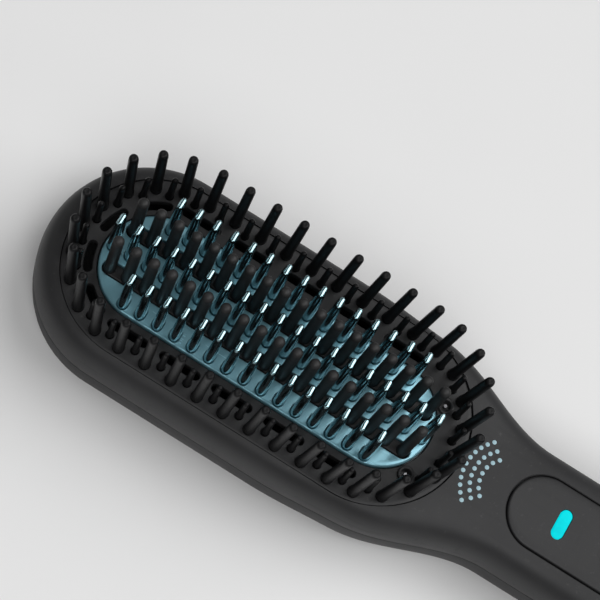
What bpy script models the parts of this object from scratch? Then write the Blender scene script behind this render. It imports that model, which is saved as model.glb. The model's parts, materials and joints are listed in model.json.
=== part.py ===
"""Hot air paddle brush, lying on its back with the bristles up.

Lengths are metres. X runs from the tip of the head (minus) to the cord end (plus), Y runs across,
and Z is up, with zero on the flat back that the brush rests on. The finished brush has its origin
under its middle.
"""
import math

import bmesh
import bpy

# Bristle bed, which most other lengths follow. X is counted from its neck end while the brush is built
BED_RADIUS = 0.02415
TOOTH_SPACING = 0.0050
TEETH_PER_TALL_SHARE = 1.5
TALL_SPACING = TOOTH_SPACING * TEETH_PER_TALL_SHARE
TALL_PER_SIDE = 9
TALL_PER_CAP = 9
TALL_OVERRUN = 0.0020
BED_HALF_STRAIGHT = TALL_SPACING * (TALL_PER_SIDE - 1) / 2 + TALL_OVERRUN
BED_X = -BED_RADIUS - BED_HALF_STRAIGHT

# Overall form
RIM_WIDTH = 0.00435
HEAD_HALF_WIDTH = BED_RADIUS + RIM_WIDTH
TIP_CAP_LENGTH = HEAD_HALF_WIDTH
TIP_EXTRA = 0.0016
BODY_FRONT_X = BED_X - BED_HALF_STRAIGHT - HEAD_HALF_WIDTH - TIP_EXTRA
HANDLE_HALF_WIDTH = 0.0167
TAPER_LEAD = 0.0166
TAPER_START_X = -BED_RADIUS - TAPER_LEAD
TAPER_LENGTH = 0.0300
TAPER_END_X = TAPER_START_X + TAPER_LENGTH
TAPER_DROP = 0.0017
NECK_START_GAP = 0.0074
NECK_START_X = TAPER_END_X - NECK_START_GAP
NECK_LENGTH = 0.0380
NECK_END_X = NECK_START_X + NECK_LENGTH
DECK_Z = 0.0270
SPLIT_SHARE = 0.5185
SPLIT_Z = DECK_Z * SPLIT_SHARE
EDGE_WIDTH = 0.0085
EDGE_POWER_SHARE = 3.6
EDGE_STEP_SHARES = (0.0, 0.04, 0.16, 0.42, 1.0)
WALL = 0.0020
SEAM_GAP = 0.0003
PIECE_GAP = 0.0003
JOIN_DEPTH = 0.0004

# Heights of the bed and of the lip under it
BED_DROP = 0.0006
BED_TOP_Z = DECK_Z - BED_DROP
BED_THICKNESS = 0.0019
BED_BOTTOM_Z = BED_TOP_Z - BED_THICKNESS
BED_CLEARANCE = 0.0003
LIP_INNER_INSET = 0.00195
LIP_INNER_RADIUS = BED_RADIUS - LIP_INNER_INSET
LIP_REACH = 0.00335
LIP_OUTER_RADIUS = BED_RADIUS + LIP_REACH
LIP_THICKNESS = 0.0020

# Air slots
SLOT_INSET = 0.00675
SLOT_TRACK_RADIUS = BED_RADIUS - SLOT_INSET
SLOT_HALF_WIDTH = 0.0011
SLOT_END_GAP = 0.0018
SLOT_HALF_LENGTH = TALL_SPACING - SLOT_END_GAP
SLOT_SPACING = 2 * TALL_SPACING
SLOT_CAP_HALF_ANGLE_SHARE = 0.24
TIP_SLOT_STEPS = (2, 4, 6, 8)

# Bristles and the carrier under the bed that holds them
TALL_INSET = 0.00235
TALL_TRACK_RADIUS = BED_RADIUS - TALL_INSET
TALL_FOOT_RADIUS = 0.0014
TALL_TIP_RADIUS = 0.00115
TALL_HEIGHT = 0.0236
TALL_TOP_Z = DECK_Z + TALL_HEIGHT
TALL_SPLAY_SHARE = 0.025
SHORT_INSET = 0.00395
SHORT_TRACK_RADIUS = BED_RADIUS - SHORT_INSET
SHORT_FOOT_RADIUS = 0.00095
SHORT_TIP_RADIUS = 0.0007
SHORT_HEIGHT = 0.0120
SHORT_TOP_Z = DECK_Z + SHORT_HEIGHT
FOOT_HEIGHT = 0.0020
TIP_ROUNDING = 0.0008
TIP_FLAT_SHARE = 0.5
BRISTLE_HOLE_CLEARANCE = 0.00025
CARRIER_INNER_INSET = 0.00525
CARRIER_INNER_RADIUS = BED_RADIUS - CARRIER_INNER_INSET
CARRIER_OUTER_INSET = 0.00075
CARRIER_OUTER_RADIUS = BED_RADIUS - CARRIER_OUTER_INSET
CARRIER_THICKNESS = 0.0015
CARRIER_BOTTOM_Z = BED_BOTTOM_Z - PIECE_GAP - CARRIER_THICKNESS
LIP_TOP_Z = CARRIER_BOTTOM_Z - PIECE_GAP

# Heated plate, its teeth and the cool posts between them
PLATE_OVERRUN = 0.0010
PLATE_HALF_STRAIGHT = BED_HALF_STRAIGHT + PLATE_OVERRUN
PLATE_INSET = 0.01015
PLATE_RADIUS = BED_RADIUS - PLATE_INSET
PLATE_TOP_Z = DECK_Z
PLATE_THICKNESS = 0.0025
PLATE_BOTTOM_Z = PLATE_TOP_Z - PLATE_THICKNESS
ROW_INSET = 0.0026
TOOTH_ROW_SPACING = PLATE_RADIUS - ROW_INSET
TOOTH_FOOT_RADIUS = 0.0017
TOOTH_TIP_RADIUS = 0.0010
TOOTH_HEIGHT = 0.0200
POST_FOOT_RADIUS = 0.0016
POST_TIP_RADIUS = 0.0015
POST_HEIGHT = 0.0226
POST_STRIP_MARGIN = 0.0001
POST_STRIP_RADIUS = POST_FOOT_RADIUS + POST_STRIP_MARGIN
POST_STRIP_DROP = 0.0003
POST_SLOT_CLEARANCE = 0.0003
POST_SLOT_RADIUS = POST_STRIP_RADIUS + POST_SLOT_CLEARANCE
POST_BAR_HALF_WIDTH = 0.0018
POST_BAR_THICKNESS = 0.0030
POST_BAR_TOP_Z = PLATE_BOTTOM_Z - PIECE_GAP
POST_BAR_BOTTOM_Z = POST_BAR_TOP_Z - POST_BAR_THICKNESS
POST_BAR_END_MARGIN = 0.0022
HEATER_OVERRUN = PLATE_RADIUS / 2
PLATE_HEATER_HALF_LENGTH = PLATE_HALF_STRAIGHT + HEATER_OVERRUN
HEATER_SIDE_GAP = 0.0006
PLATE_HEATER_HALF_WIDTH = TOOTH_ROW_SPACING / 2 - POST_BAR_HALF_WIDTH - HEATER_SIDE_GAP
CLAMP_OVERRUN = 0.0020
CLAMP_HALF_LENGTH = PLATE_HEATER_HALF_LENGTH + CLAMP_OVERRUN
CLAMP_INSET = 0.0050
CLAMP_HALF_WIDTH = PLATE_RADIUS - CLAMP_INSET
CLAMP_THICKNESS = 0.0010
CLAMP_TOP_Z = POST_BAR_BOTTOM_Z - PIECE_GAP

# How many teeth and posts each row has room for, from the middle out
ROW_END_MARGIN = 0.0002


def row_reach(y, radius):
    """How far from the plate's middle a round piece of a row at y can stand."""
    end = PLATE_HALF_STRAIGHT + math.sqrt(PLATE_RADIUS ** 2 - y ** 2)
    return end - radius - ROW_END_MARGIN


OUTER_ROW_TEETH = 2 * int(row_reach(TOOTH_ROW_SPACING, TOOTH_FOOT_RADIUS) / TOOTH_SPACING) + 1
MIDDLE_ROW_TEETH = 2 * int(row_reach(0.0, TOOTH_FOOT_RADIUS) / TOOTH_SPACING) + 1
POSTS_PER_ROW = 2 * int(row_reach(TOOTH_ROW_SPACING / 2, POST_SLOT_RADIUS) / TOOTH_SPACING + 1 / 2)

# Insulating frame that carries the plate
RAIL_INNER_INSET = 0.0013
RAIL_INNER_Y = PLATE_RADIUS - RAIL_INNER_INSET
RAIL_WIDTH = 0.0030
RAIL_OUTER_Y = RAIL_INNER_Y + RAIL_WIDTH
RAIL_HALF_LENGTH = PLATE_HALF_STRAIGHT
RAIL_THICKNESS = 0.0022
LEG_INSET = 0.0040
LEG_X = RAIL_HALF_LENGTH - LEG_INSET
LEG_HALF_SIZE = 0.0018
BEAM_THICKNESS = 0.0026
BEAM_HALF_WIDTH = 0.0012

# Ion outlets at the neck end of the bed
ION_CAP_ANGLE_SHARE = 0.20
ION_INSET = 0.00665
ION_TRACK_RADIUS = BED_RADIUS - ION_INSET
ION_COLLAR_RADIUS = 0.0021
ION_COLLAR_HEIGHT = 0.0006
ION_TUBE_RADIUS = 0.0016
ION_BORE_RADIUS = 0.0011
ION_HOLE_CLEARANCE = 0.00025
ION_NEEDLE_RADIUS = 0.00045
ION_BAR_MARGIN = 0.0017
ION_BAR_HALF_WIDTH = 0.0013
ION_BAR_THICKNESS = 0.0020
ION_BAR_TOP_Z = BED_BOTTOM_Z - PIECE_GAP - RAIL_THICKNESS - PIECE_GAP
ION_BAR_BOTTOM_Z = ION_BAR_TOP_Z - ION_BAR_THICKNESS

# Control panel, as long as what it carries
PANEL_START_X = 0.0151
LED_SETBACK = 0.01455
LED_X = PANEL_START_X + LED_SETBACK
POWER_BUTTON_SETBACK = 0.0176
POWER_BUTTON_X = LED_X + POWER_BUTTON_SETBACK
HEAT_UP_SETBACK = 0.0145
HEAT_UP_X = POWER_BUTTON_X + HEAT_UP_SETBACK
HEAT_DOWN_SETBACK = 0.0105
HEAT_DOWN_X = HEAT_UP_X + HEAT_DOWN_SETBACK
PANEL_TAIL = 0.0135
PANEL_END_X = HEAT_DOWN_X + PANEL_TAIL
PANEL_SIDE_MARGIN = 0.0071
PANEL_RADIUS = HANDLE_HALF_WIDTH - PANEL_SIDE_MARGIN
PANEL_THICKNESS = 0.0018
PANEL_PROUD = 0.0001
PANEL_TOP_Z = DECK_Z + PANEL_PROUD
PANEL_FLOOR_Z = PANEL_TOP_Z - PANEL_THICKNESS - PIECE_GAP
PANEL_FLOOR_THICKNESS = 0.0020
PANEL_BACKING_MARGIN = 0.0025
LED_HALF_LENGTH = 0.0040
LED_HALF_WIDTH = 0.00155
LED_STEM_SHARE = 0.62
POWER_BUTTON_RADIUS = 0.0052
HEAT_BUTTON_HALF_LENGTH = 0.0048
HEAT_BUTTON_HALF_WIDTH = 0.0030
BUTTON_PROUD = 0.0009
BUTTON_TRAVEL = 0.0006
BUTTON_CLEARANCE = 0.0003
STEM_RADIUS = 0.0014
STEM_FOOT_RADIUS = 0.0022

# Circuit board and switches
BOARD_START_SETBACK = 0.0029
BOARD_START_X = PANEL_START_X + BOARD_START_SETBACK
BOARD_END_SETBACK = 0.0090
BOARD_END_X = PANEL_END_X - BOARD_END_SETBACK
BOARD_SIDE_MARGIN = 0.0068
BOARD_HALF_WIDTH = HANDLE_HALF_WIDTH - BOARD_SIDE_MARGIN
STEM_ROOM = 0.0042
BOARD_TOP_Z = PANEL_FLOOR_Z - PANEL_FLOOR_THICKNESS - STEM_ROOM - BUTTON_PROUD
BOARD_THICKNESS = 0.0016
BOARD_POST_HALF_SIZE = 0.0016
BOARD_POST_INSET = 0.0030
SWITCH_HALF_SIZE = 0.0031
SWITCH_BODY_HEIGHT = 0.0024
SWITCH_FLOOR_THICKNESS = 0.0006
PLUNGER_RADIUS = 0.0012
PLUNGER_TRAVEL_GAP = 0.0003
PLUNGER_BORE_CLEARANCE = 0.0003
LED_CHIP_HALF_SIZE = 0.0013
LED_CHIP_HEIGHT = 0.0010
ION_BOX_SETBACK = 0.0060
ION_BOX_START_X = BOARD_START_X + ION_BOX_SETBACK
ION_BOX_LENGTH = 0.0280
ION_BOX_HALF_WIDTH = 0.0080
ION_BOX_HEIGHT = 0.0090

# Air heater in the neck
THERMOSTAT_RADIUS = 0.0035
THERMOSTAT_HEIGHT = 0.0020
THERMOSTAT_GAP = 0.0024
THERMOSTAT_X = LIP_REACH + THERMOSTAT_GAP + THERMOSTAT_RADIUS
FUSE_RADIUS = 0.0012
FUSE_HALF_LENGTH = 0.0045
FUSE_X = THERMOSTAT_X
FUSE_SIDE_GAP = 0.0021
FUSE_Y = THERMOSTAT_RADIUS + FUSE_SIDE_GAP + FUSE_RADIUS
DUCT_END_MARGIN = 0.0010
DUCT_END_X = THERMOSTAT_X + FUSE_HALF_LENGTH + DUCT_END_MARGIN
DUCT_LENGTH = 0.0325
DUCT_START_X = DUCT_END_X - DUCT_LENGTH
DUCT_SIDE_MARGIN = 0.0084
DUCT_HALF_WIDTH = HANDLE_HALF_WIDTH - DUCT_SIDE_MARGIN
DUCT_TOP_Z = ION_BAR_BOTTOM_Z - PIECE_GAP
DUCT_WALL = 0.0010
CORE_SETBACK = 0.0045
CORE_START_X = DUCT_START_X + CORE_SETBACK
CORE_LENGTH = 0.0200
CORE_END_X = CORE_START_X + CORE_LENGTH
FIN_COUNT = 8
FIN_THICKNESS = 0.0006
CORE_BAR_THICKNESS = 0.0016
MICA_THICKNESS = 0.0006

# Fan and motor
ROUND_SIDES = 16
AIR_AXIS_Z = DECK_Z / 2
SHROUD_SETBACK = 0.0010
SHROUD_START_X = PANEL_END_X + PANEL_BACKING_MARGIN + SHROUD_SETBACK
SHROUD_RADIUS = (DECK_Z / 2 - WALL - PIECE_GAP) / math.cos(math.pi / ROUND_SIDES)
SHROUD_WALL = 0.0010
MOTOR_OVERHANG = 0.0075
MOTOR_START_X = SHROUD_START_X - MOTOR_OVERHANG
MOTOR_LENGTH = 0.0190
MOTOR_END_X = MOTOR_START_X + MOTOR_LENGTH
MOTOR_RADIUS = 0.0062
SPIDER_RING_WALL = 0.0012
SPIDER_THICKNESS = 0.0025
SPIDER_ARM_HALF_WIDTH = 0.0008
SHAFT_RADIUS = 0.0010
SHAFT_DEPTH = 0.0060
IMPELLER_SETBACK = 0.0025
IMPELLER_START_X = MOTOR_END_X + IMPELLER_SETBACK
IMPELLER_LENGTH = 0.0090
IMPELLER_HUB_RADIUS = 0.0040
IMPELLER_TIP_CLEARANCE = 0.0012
IMPELLER_RADIUS = SHROUD_RADIUS - SHROUD_WALL - IMPELLER_TIP_CLEARANCE
IMPELLER_BLADES = 7
BLADE_THICKNESS = 0.0008
BLADE_PITCH_SHARE = 0.6
BLADE_ROOT_SHARE = 0.8
BLADE_MARGIN = 0.0010
SHROUD_END_MARGIN = 0.0015
SHROUD_END_X = IMPELLER_START_X + IMPELLER_LENGTH + SHROUD_END_MARGIN

# Air inlet, filter and cord gland
BULKHEAD_SETBACK = 0.0026
BULKHEAD_START_X = SHROUD_END_X + BULKHEAD_SETBACK
BULKHEAD_THICKNESS = 0.0020
BULKHEAD_PORT_RADIUS = 0.0022
BULKHEAD_PORTS = 6
GLAND_TUBE_OUTER_RADIUS = 0.0048
GLAND_TUBE_INNER_RADIUS = 0.0036
PORT_TUBE_GAP = 0.0013
BULKHEAD_PORT_TRACK_RADIUS = GLAND_TUBE_OUTER_RADIUS + PORT_TUBE_GAP + BULKHEAD_PORT_RADIUS
FILTER_THICKNESS = 0.0012
FILTER_BAR_WIDTH = 0.0010
FILTER_BAR_SPACING = 0.0042
FILTER_EDGE_GAP = 0.0010
FILTER_FRAME_RADIUS = DECK_Z / 2 - WALL - PIECE_GAP - FILTER_EDGE_GAP
CAP_JOINT_SETBACK = 0.0014
CAP_JOINT_X = BULKHEAD_START_X + BULKHEAD_THICKNESS + CAP_JOINT_SETBACK
CAP_LENGTH = 0.0300
BODY_REAR_X = CAP_JOINT_X + CAP_LENGTH
END_CAP_LENGTH = 0.0165
INTAKE_SLOTS = 5
INTAKE_SLOT_SPACING = 0.0036
INTAKE_SLOT_HALF_WIDTH = 0.0008
INTAKE_SLOT_HALF_HEIGHT = 0.0048
INTAKE_SETBACK = 0.0055
INTAKE_START_X = CAP_JOINT_X + INTAKE_SETBACK
CAP_BORE_CLEARANCE = 0.0003
GLAND_STEM_CLEARANCE = 0.0004
GLAND_STEM_RADIUS = GLAND_TUBE_INNER_RADIUS - GLAND_STEM_CLEARANCE
GLAND_COLLAR_OVERLAP = 0.0004
GLAND_COLLAR_RADIUS = GLAND_TUBE_OUTER_RADIUS + GLAND_COLLAR_OVERLAP
GLAND_COLLAR_LENGTH = 0.0030
GLAND_SLEEVE_STEP = 0.0008
GLAND_SLEEVE_RADIUS = GLAND_COLLAR_RADIUS - GLAND_SLEEVE_STEP
GLAND_REACH = 0.0120
GLAND_END_X = BODY_REAR_X + GLAND_REACH
GLAND_SLEEVE_WALL = 0.0011
GLAND_BORE_RADIUS = GLAND_STEM_RADIUS - GLAND_SLEEVE_WALL
GLAND_CLIP_OVERLAP = 0.0010
GLAND_CLIP_RADIUS = GLAND_TUBE_INNER_RADIUS + GLAND_CLIP_OVERLAP
GLAND_CLIP_THICKNESS = 0.0012

# Screws that hold the two shells together
TIP_SCREW_SETBACK = 0.0065
TIP_SCREW_X = BODY_FRONT_X + TIP_SCREW_SETBACK
NECK_SCREW_X = 0.00375
NECK_SCREW_GAP = 0.0041
NECK_SCREW_Y = DUCT_HALF_WIDTH + NECK_SCREW_GAP
HANDLE_SCREW_SETBACK = 0.0050
HANDLE_SCREW_X = PANEL_END_X - HANDLE_SCREW_SETBACK
HANDLE_SCREW_MARGIN = 0.0063
HANDLE_SCREW_Y = HANDLE_HALF_WIDTH - HANDLE_SCREW_MARGIN
SCREW_PLACES = (
    ("tip", TIP_SCREW_X, 0.0),
    ("neck_far", NECK_SCREW_X, NECK_SCREW_Y),
    ("neck_near", NECK_SCREW_X, -NECK_SCREW_Y),
    ("handle_far", HANDLE_SCREW_X, HANDLE_SCREW_Y),
    ("handle_near", HANDLE_SCREW_X, -HANDLE_SCREW_Y),
)
SCREW_HEAD_RADIUS = 0.0022
SCREW_HEAD_HEIGHT = 0.0016
SCREW_RECESS_DEPTH = 0.0008
SCREW_SHANK_RADIUS = 0.0010
SCREW_BITE = 0.0038
SCREW_LENGTH = SPLIT_Z + SCREW_BITE - SCREW_RECESS_DEPTH
SCREW_CLEARANCE = 0.0003
SCREW_SLOT_HALF_WIDTH = 0.00035
SCREW_SLOT_HALF_LENGTH = 0.0015
SCREW_SLOT_DEPTH = 0.0006
BOSS_RADIUS = 0.0026
LOWER_BOSS_RADIUS = 0.0032

# How finely round things are cut
TIP_SIDE_STEPS = 2
SIDE_STEPS = 3
NECK_STEPS = 7
TIP_STEPS = 14
END_STEPS = 8
STADIUM_STEPS = 9
PANEL_STEPS = 8
PILL_STEPS = 4
SLOT_STEPS = 3
SLOT_ARC_STEPS = 4
SMALL_SIDES = 10
BRISTLE_SIDES = 7
THIN_SIDES = 6
SMOOTH_BELOW_ANGLE = math.radians(35)

# Colours
CHARCOAL = (0.034, 0.034, 0.036)
BED_GREY = (0.062, 0.062, 0.065)
BRISTLE_BLACK = (0.018, 0.018, 0.019)
PANEL_GREY = (0.040, 0.040, 0.042)
PLATE_BLUE = (0.50, 0.62, 0.68)
CYAN = (0.0, 0.75, 0.82)
DARK_RUBBER = (0.022, 0.022, 0.024)
CREAM = (0.62, 0.58, 0.48)
MICA_BROWN = (0.36, 0.27, 0.17)
STEEL = (0.55, 0.56, 0.58)
BOARD_GREEN = (0.03, 0.16, 0.07)
CERAMIC_WHITE = (0.78, 0.77, 0.73)
IMPELLER_GREY = (0.30, 0.31, 0.33)


def clear_objects():
    """Remove whatever the starting file holds."""
    for thing in list(bpy.data.objects):
        bpy.data.objects.remove(thing, do_unlink=True)


def make_material(name, colour, roughness, metallic=0.0, glow=0.0):
    """A plain material; glow is how strongly it shines by itself."""
    material = bpy.data.materials.new(name)
    material.use_nodes = True
    shader = material.node_tree.nodes["Principled BSDF"]
    shader.inputs["Base Color"].default_value = (*colour, 1.0)
    shader.inputs["Roughness"].default_value = roughness
    shader.inputs["Metallic"].default_value = metallic
    shader.inputs["Emission Color"].default_value = (*colour, 1.0)
    shader.inputs["Emission Strength"].default_value = glow
    material.diffuse_color = (*colour, 1.0)
    return material


# Outlines, as lists of flat points that run anticlockwise

def circle(centre_x, centre_y, radius, sides):
    step = 2 * math.pi / sides
    return [
        (centre_x + radius * math.cos(step * (i + 0.5)), centre_y + radius * math.sin(step * (i + 0.5)))
        for i in range(sides)
    ]


def box_outline(x0, x1, y0, y1):
    return [(x0, y0), (x1, y0), (x1, y1), (x0, y1)]


def stadium(centre_x, half_straight, radius, steps=STADIUM_STEPS):
    points = []
    for side, start in ((1, -math.pi / 2), (-1, math.pi / 2)):
        end_x = centre_x + side * half_straight
        for i in range(steps + 1):
            angle = start + math.pi * i / steps
            points.append((end_x + radius * math.cos(angle), radius * math.sin(angle)))
    return points


def upright_pill(centre_x, half_length, half_width, steps=PILL_STEPS):
    """A pill that is long across the brush."""
    points = []
    for side, start in ((1, 0.0), (-1, math.pi)):
        for i in range(steps + 1):
            angle = start + math.pi * i / steps
            y = side * (half_length - half_width) + half_width * math.sin(angle)
            points.append((centre_x + half_width * math.cos(angle), y))
    return points


def smooth_step(value, low, high):
    share = min(max((value - low) / (high - low), 0.0), 1.0)
    return share * share * (3 - 2 * share)


def half_width(x):
    """Half the width of the body at x, before the round ends."""
    head = HEAD_HALF_WIDTH - TAPER_DROP * smooth_step(x, TAPER_START_X, TAPER_END_X)
    neck_drop = HEAD_HALF_WIDTH - TAPER_DROP - HANDLE_HALF_WIDTH
    return head - neck_drop * smooth_step(x, NECK_START_X, NECK_END_X)


def body_side():
    """One side of the body outline from the tip cap to the end cap, at positive Y."""
    cap_x = BODY_FRONT_X + TIP_CAP_LENGTH
    end_x = BODY_REAR_X - END_CAP_LENGTH
    stations = [cap_x]
    stretches = (
        (cap_x, TAPER_START_X, TIP_SIDE_STEPS),
        (TAPER_START_X, NECK_START_X, SIDE_STEPS),
        (NECK_START_X, NECK_END_X, NECK_STEPS),
        (NECK_END_X, end_x, SIDE_STEPS),
    )
    for low, high, steps in stretches:
        stations += [low + (high - low) * i / steps for i in range(1, steps + 1)]
    return [(x, half_width(x)) for x in stations]


def body_outline():
    """The whole outline of the brush seen from above, anticlockwise from the near side of the tip cap."""
    near = [(x, -y) for x, y in body_side()]
    far = list(reversed(body_side()))
    end_x = BODY_REAR_X - END_CAP_LENGTH
    tip_x = BODY_FRONT_X + TIP_CAP_LENGTH
    end_cap = []
    for i in range(1, END_STEPS):
        angle = -math.pi / 2 + math.pi * i / END_STEPS
        end_cap.append((end_x + END_CAP_LENGTH * math.cos(angle), HANDLE_HALF_WIDTH * math.sin(angle)))
    tip_cap = []
    for i in range(1, TIP_STEPS):
        angle = math.pi / 2 + math.pi * i / TIP_STEPS
        tip_cap.append((tip_x + TIP_CAP_LENGTH * math.cos(angle), HEAD_HALF_WIDTH * math.sin(angle)))
    return near + end_cap + far + tip_cap


def inset(outline, distance):
    """The outline moved inwards, point by point."""
    moved = []
    count = len(outline)
    for i, (x, y) in enumerate(outline):
        before = outline[i - 1]
        after = outline[(i + 1) % count]
        dx, dy = after[0] - before[0], after[1] - before[1]
        length = math.hypot(dx, dy)
        moved.append((x - distance * dy / length, y + distance * dx / length))
    return moved


# Solids

def new_object(name, mesh):
    thing = bpy.data.objects.new(name, mesh)
    bpy.context.scene.collection.objects.link(thing)
    return thing


def loft(rings, name="work"):
    """A closed solid through rings of equal length, each a list of points in space."""
    shape = bmesh.new()
    made = [[shape.verts.new(point) for point in ring] for ring in rings]
    count = len(rings[0])
    for low, high in zip(made, made[1:]):
        for i in range(count):
            j = (i + 1) % count
            shape.faces.new((low[i], low[j], high[j], high[i]))
    shape.faces.new(list(reversed(made[0])))
    shape.faces.new(made[-1])
    mesh = bpy.data.meshes.new(name)
    shape.to_mesh(mesh)
    shape.free()
    return new_object(name, mesh)


def solid(outline, low, high):
    """A straight-sided solid on a flat outline, between two heights."""
    return loft([[(x, y, z) for x, y in outline] for z in (low, high)])


def solid_along_x(outline, low, high):
    """A straight-sided solid whose outline is given as (y, z), between two places along X."""
    return loft([[(x, y, z) for y, z in outline] for x in (low, high)])


def box(x0, x1, y0, y1, z0, z1):
    return solid(box_outline(x0, x1, y0, y1), z0, z1)


def rod_along_x(radius, x0, x1, sides=ROUND_SIDES, centre_y=0.0, centre_z=AIR_AXIS_Z):
    return solid_along_x(circle(centre_y, centre_z, radius, sides), x0, x1)


def gather(things):
    """Put separate solids that do not touch into one object."""
    shape = bmesh.new()
    for thing in things:
        shape.from_mesh(thing.data)
        bpy.data.objects.remove(thing, do_unlink=True)
    mesh = bpy.data.meshes.new("work")
    shape.to_mesh(mesh)
    shape.free()
    return new_object("work", mesh)


def combine(first, second, operation):
    """Join, cut or intersect two solids and return the first."""
    step = first.modifiers.new("step", "BOOLEAN")
    step.operation = operation
    step.solver = "EXACT"
    step.object = second
    graph = bpy.context.evaluated_depsgraph_get()
    mesh = bpy.data.meshes.new_from_object(first.evaluated_get(graph))
    first.modifiers.clear()
    first.data = mesh
    bpy.data.objects.remove(second, do_unlink=True)
    return first


def cut(target, *tools):
    for tool in tools:
        combine(target, tool, "DIFFERENCE")
    return target


def join(target, *others):
    for other in others:
        combine(target, other, "UNION")
    return target


def finish(thing, name, material, origin=(0.0, 0.0, 0.0)):
    """Name a solid, colour it and put its origin where its joint is."""
    mesh = thing.data
    shape = bmesh.new()
    shape.from_mesh(mesh)
    bmesh.ops.recalc_face_normals(shape, faces=shape.faces)
    bmesh.ops.translate(shape, verts=shape.verts, vec=[-value for value in origin])
    shape.to_mesh(mesh)
    shape.free()
    mesh.name = name
    mesh.materials.clear()
    mesh.materials.append(material)
    mesh.shade_smooth()
    mesh.set_sharp_from_angle(angle=SMOOTH_BELOW_ANGLE)
    thing.name = name
    thing.location = origin
    return thing


def spike(x, y, levels, sides, lean=0.0):
    """An upright bristle: levels are (radius, height), the last one being its rounded top."""
    low = levels[0][1]
    high = levels[-1][1]
    rings = []
    for radius, z in levels:
        shift = lean * (z - low) / (high - low)
        rings.append([(px, py, z) for px, py in circle(x + shift, y, radius, sides)])
    return loft(rings)


# Shells

def edge_height(share):
    """How far up the rounded edge has risen, as a share, at a share of its width in from the outline."""
    return (1 - (1 - share) ** EDGE_POWER_SHARE) ** (1 / EDGE_POWER_SHARE)


def body_solid(shrink):
    """The outer form of the brush, shrunk evenly by a wall thickness."""
    outline = inset(body_outline(), shrink) if shrink else body_outline()
    rings = []
    for share in reversed(EDGE_STEP_SHARES):
        z = SPLIT_Z - (SPLIT_Z - shrink) * edge_height(share)
        rings.append([(x, y, z) for x, y in inset(outline, (EDGE_WIDTH - shrink) * share)])
    for share in EDGE_STEP_SHARES[1:]:
        z = SPLIT_Z + (DECK_Z - shrink - SPLIT_Z) * edge_height(share)
        rings.append([(x, y, z) for x, y in inset(outline, (EDGE_WIDTH - shrink) * share)])
    return loft(rings)


def far_box(x0, x1, z0, z1):
    """A box wider than the brush."""
    return box(x0, x1, -2 * HEAD_HALF_WIDTH, 2 * HEAD_HALF_WIDTH, z0, z1)


def bed_outline(radius):
    return stadium(BED_X, BED_HALF_STRAIGHT, radius)


def plate_outline(radius):
    return stadium(BED_X, PLATE_HALF_STRAIGHT, radius)


def panel_stadium(radius_change):
    centre = (PANEL_START_X + PANEL_END_X) / 2
    half = (PANEL_END_X - PANEL_START_X) / 2 - PANEL_RADIUS
    return stadium(centre, half, PANEL_RADIUS + radius_change, PANEL_STEPS)


def button_places():
    return (
        ("power", POWER_BUTTON_X),
        ("heat_up", HEAT_UP_X),
        ("heat_down", HEAT_DOWN_X),
    )


def button_outline(name, x, growth):
    if name == "power":
        return circle(x, 0.0, POWER_BUTTON_RADIUS + growth, ROUND_SIDES)
    return upright_pill(x, HEAT_BUTTON_HALF_LENGTH + growth, HEAT_BUTTON_HALF_WIDTH + growth)


def led_guide_outline(growth):
    """The narrower part of the LED lens, which leads the light up through the shell."""
    half_length = LED_HALF_LENGTH * LED_STEM_SHARE + growth
    return upright_pill(LED_X, half_length, LED_HALF_WIDTH * LED_STEM_SHARE + growth)


def make_front_shell(material):
    shell = cut(body_solid(0.0), body_solid(WALL))
    cut(shell, far_box(2 * BODY_FRONT_X, 2 * BODY_REAR_X, -SPLIT_Z, SPLIT_Z + SEAM_GAP / 2))
    cut(shell, far_box(CAP_JOINT_X - SEAM_GAP / 2, 2 * BODY_REAR_X, -DECK_Z, 2 * DECK_Z))
    cut(shell, solid(bed_outline(BED_RADIUS + BED_CLEARANCE), LIP_TOP_Z, 2 * DECK_Z))
    lip = solid(bed_outline(LIP_OUTER_RADIUS), LIP_TOP_Z - LIP_THICKNESS, LIP_TOP_Z)
    cut(lip, solid(bed_outline(LIP_INNER_RADIUS), -DECK_Z, DECK_Z))
    combine(lip, body_solid(WALL / 2), "INTERSECT")
    join(shell, lip)
    floor_low = PANEL_FLOOR_Z - PANEL_FLOOR_THICKNESS
    join(shell, solid(panel_stadium(PANEL_BACKING_MARGIN), floor_low, PANEL_FLOOR_Z + JOIN_DEPTH))
    for name, x, y in SCREW_PLACES:
        top = LIP_TOP_Z - LIP_THICKNESS + JOIN_DEPTH if name == "tip" else DECK_Z - WALL + JOIN_DEPTH
        boss = solid(circle(x, y, BOSS_RADIUS, SMALL_SIDES), SPLIT_Z + SEAM_GAP, top)
        join(shell, boss)
    bore_top = SCREW_RECESS_DEPTH + SCREW_LENGTH + SCREW_CLEARANCE
    bores = [
        solid(circle(x, y, SCREW_SHANK_RADIUS + SCREW_CLEARANCE, SMALL_SIDES), -DECK_Z, bore_top)
        for name, x, y in SCREW_PLACES
    ]
    cut(shell, gather(bores))
    cut(shell, solid(panel_stadium(PIECE_GAP), PANEL_FLOOR_Z, 2 * DECK_Z))
    stems = [
        solid(circle(x, 0.0, STEM_RADIUS + BUTTON_CLEARANCE, SMALL_SIDES), 0.0, 2 * DECK_Z)
        for name, x in button_places()
    ]
    stems.append(solid(led_guide_outline(PIECE_GAP), 0.0, 2 * DECK_Z))
    cut(shell, gather(stems))
    return finish(shell, "front_shell", material)


def board_post_places():
    x0 = BOARD_START_X + BOARD_POST_INSET
    x1 = BOARD_END_X - BOARD_POST_INSET
    y = BOARD_HALF_WIDTH - BOARD_POST_INSET
    return ((x0, y), (x0, -y), (x1, y), (x1, -y))


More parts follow.
